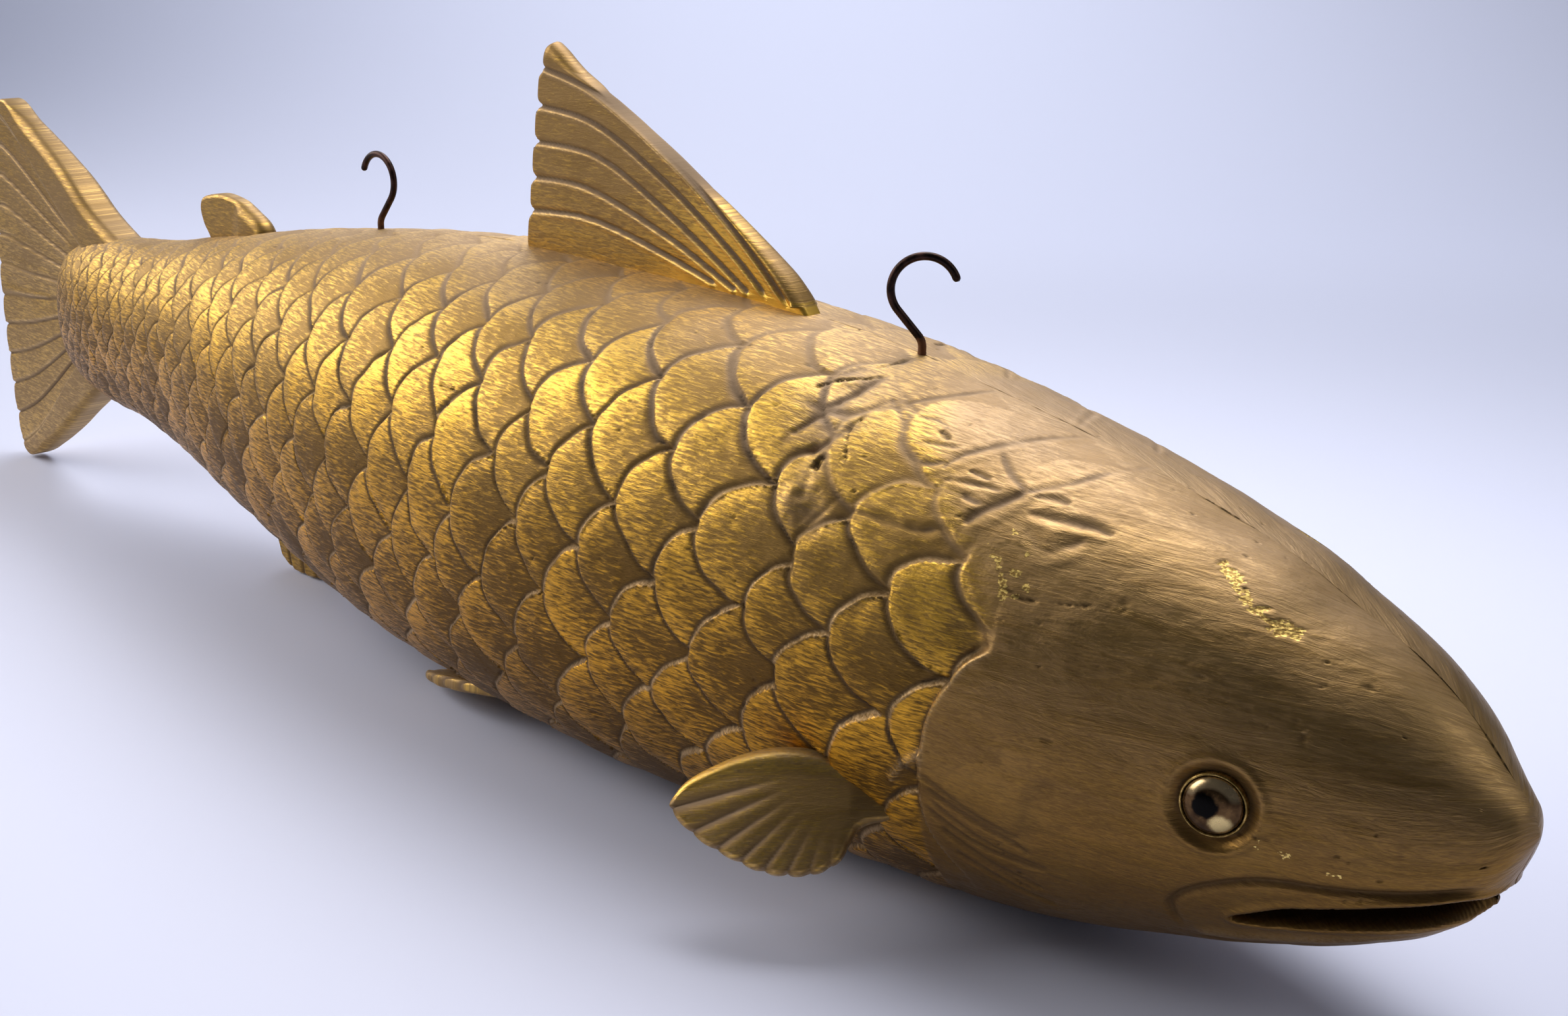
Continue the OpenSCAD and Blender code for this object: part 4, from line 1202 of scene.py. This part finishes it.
def glassMaterial():
    # a glossy bronzed dome with a dark pupil that fades into it, a pale painted highlight across the top and
    # a gold painted reflection below
    material, tree, shader = newMaterial("eyeGlass")
    lathe = field(tree, "lathe", "Vector")
    split = put(tree, "ShaderNodeSeparateXYZ", None, Vector=lathe)
    x, y = split.outputs["X"], split.outputs["Y"]
    radius = awayFrom(tree, x, y)
    vein = stretched(tree, lathe, (240, 240, 240), 0, 3.0, 0.6)
    loose = times(tree, sums(tree, "SUBTRACT", vein, 0.5), glassFinish["ragged"])
    color = mixed(tree, between(tree, vein, 0.3, 0.75), glassFinish["horn"], glassFinish["vein"])
    paintedHighlight = times(tree, between(tree, radius, 0.0074, 0.0090), between(tree, y, 0.0030, 0.0062))
    color = mixed(tree, times(tree, paintedHighlight, 0.9), color, glassFinish["paintedHighlight"])
    # the patch is a painted reflection; the pupil is the eye's own dark centre
    for spot, outside, inside in (("patch", 0.0052, 0.0030), ("pupil", 0.0060, 0.0044)):
        gap = plus(tree, awayFrom(tree, x, y, glassFinish[spot + "At"]), loose)
        color = mixed(tree, between(tree, gap, outside, inside), color, glassFinish[spot])
    # painted shade: a dark ring at the dome's edge, where it meets the eye ring
    color = mixed(tree, between(tree, radius, 0.0112, 0.0120), color, glassFinish["rim"])
    feed(tree, shader, Base_Color=color, Roughness=between(tree, vein, 0.3, 0.7, 0.16, 0.30),
         Metallic=glassFinish["metal"], Specular_IOR_Level=glassFinish["specular"])
    return material


ironFinish = {"black": (0.018, 0.010, 0.008), "brown": (0.065, 0.030, 0.022), "rust": (0.19, 0.070, 0.022),
              "hookRust": 0.241, "washerRust": 0.250}    # heights in metres that the rust gathers below


def ironMaterial(name, rustLow):
    # blackened wire, worn brown, with rust where it meets the wood
    material, tree, shader = newMaterial(name)
    vector = put(tree, "ShaderNodeTexCoord").outputs["Object"]
    height = put(tree, "ShaderNodeSeparateXYZ", None, Vector=vector).outputs["Z"]
    blotch = stretched(tree, vector, (230, 230, 160), 0, 4.0, 0.62)
    grain = stretched(tree, vector, (2200, 2200, 1500), 0, 2.0, 0.6)
    low = between(tree, height, rustLow + 0.012, rustLow - 0.002)
    amount = plus(tree, times(tree, low, 0.45), blotch)
    color = mixed(tree, between(tree, blotch, 0.35, 0.65), ironFinish["black"], ironFinish["brown"])
    color = mixed(tree, between(tree, amount, 0.62, 0.92, 0.0, 0.9), color, ironFinish["rust"])
    feed(tree, shader, Base_Color=color, Roughness=between(tree, amount, 0.4, 0.9, 0.34, 0.75),
         Metallic=between(tree, amount, 0.55, 0.9, 0.85, 0.15), Normal=bumped(tree, grain, 0.35, 0.0003))
    return material


woodFinish = {"pale": (0.46, 0.29, 0.14), "growth": (0.62, 0.43, 0.24), "pore": (0.22, 0.12, 0.05)}


def woodMaterial():
    # turned dowel: growth lines along the grain and open pores
    material, tree, shader = newMaterial("bareWood")
    vector = put(tree, "ShaderNodeTexCoord").outputs["Object"]
    growth = stretched(tree, vector, (60, 900, 900), 0, 4.0, 0.6, 0.4)
    pore = stretched(tree, vector, (300, 4200, 4200), 0, 2.0, 0.6)
    color = mixed(tree, between(tree, growth, 0.35, 0.65), woodFinish["pale"], woodFinish["growth"])
    color = mixed(tree, between(tree, pore, 0.60, 0.75, 0.0, 0.5), color, woodFinish["pore"])
    feed(tree, shader, Base_Color=color, Roughness=between(tree, growth, 0.3, 0.7, 0.52, 0.68),
         Normal=bumped(tree, pore, 0.3, 0.0003))
    return material


studio = {"near": -3.5, "far": 1.5, "half": 6.0, "bend": 2.4, "wall": 4.5, "color": (0.68, 0.71, 0.88),
          "world": (0.60, 0.68, 0.85), "worldPower": 0.06}


def makeStudio():
    # floor that bends up into a wall behind, and a dim world
    arc = np.linspace(0, np.pi / 2, 32)
    far, bend = studio["far"], studio["bend"]
    y = np.concatenate([[studio["near"]], far + bend * np.sin(arc), [far + bend]])
    z = np.concatenate([[0], bend * (1 - np.cos(arc)), [studio["wall"]]])
    x = np.array([-studio["half"], studio["half"]])
    points = np.stack(np.broadcast_arrays(x[None, :], y[:, None], z[:, None]), -1).reshape(-1, 3)
    turn = np.radians(view["heading"])
    points = np.stack([points[:, 0] * np.cos(turn) - points[:, 1] * np.sin(turn),
                       points[:, 0] * np.sin(turn) + points[:, 1] * np.cos(turn), points[:, 2]], -1)
    mesh = bpy.data.meshes.new("floor")
    mesh.from_pydata(points.tolist(), [], gridQuads(len(y), 2)[:, ::-1].tolist())
    mesh.shade_smooth()
    floor = bpy.data.objects.new("floor", mesh)
    bpy.context.collection.objects.link(floor)
    material, tree, shader = newMaterial("floorPaper")
    feed(tree, shader, Base_Color=studio["color"], Roughness=0.85, Specular_IOR_Level=0.2)
    mesh.materials.append(material)
    world = bpy.data.worlds.new("room")
    bpy.context.scene.world = world
    world.use_nodes = True
    background = world.node_tree.nodes["Background"]
    feed(world.node_tree, background, Color=studio["world"], Strength=studio["worldPower"])


makeStudio()
paint = giltPaint(brushMarks())
bodyGilt = giltMaterial("bodyGilt", paint, 0.5)
finGilt = giltMaterial("finGilt", paint, 0.4)
print("finishes made")
for side in (-1, 1):
    makeBody(side, bodyGilt)
    print("carved the", "right" if side < 0 else "left", "side")
makeDorsal(finGilt)
makeTail(finGilt)
makeAdipose(finGilt)
makeAnal(finGilt)
for side, suffix in ((-1, "Right"), (1, "Left")):
    makePaired("pectoralFin" + suffix, pectoral, "pectoral_fin_" + suffix.lower(), side, finGilt)
    makePaired("pelvicFin" + suffix, pelvic, "pelvic_fin_" + suffix.lower(), side, finGilt)
print("fins made")
ringGilt, eyeHorn = ringMaterial(), glassMaterial()
for side in (-1, 1):
    makeEye(side, ringGilt, eyeHorn)
hookIron = ironMaterial("hookIron", ironFinish["hookRust"])
washerIron = ironMaterial("washerIron", ironFinish["washerRust"])
for which in ("front", "rear"):
    makeHook(which, hookIron)
    makeWasher(which, washerIron)
print("eyes and hooks made")
bareWood = woodMaterial()
for name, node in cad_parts.items():
    if "dowel" in name:     # hidden in the joints
        node.data.materials.clear()
        node.data.materials.append(bareWood)
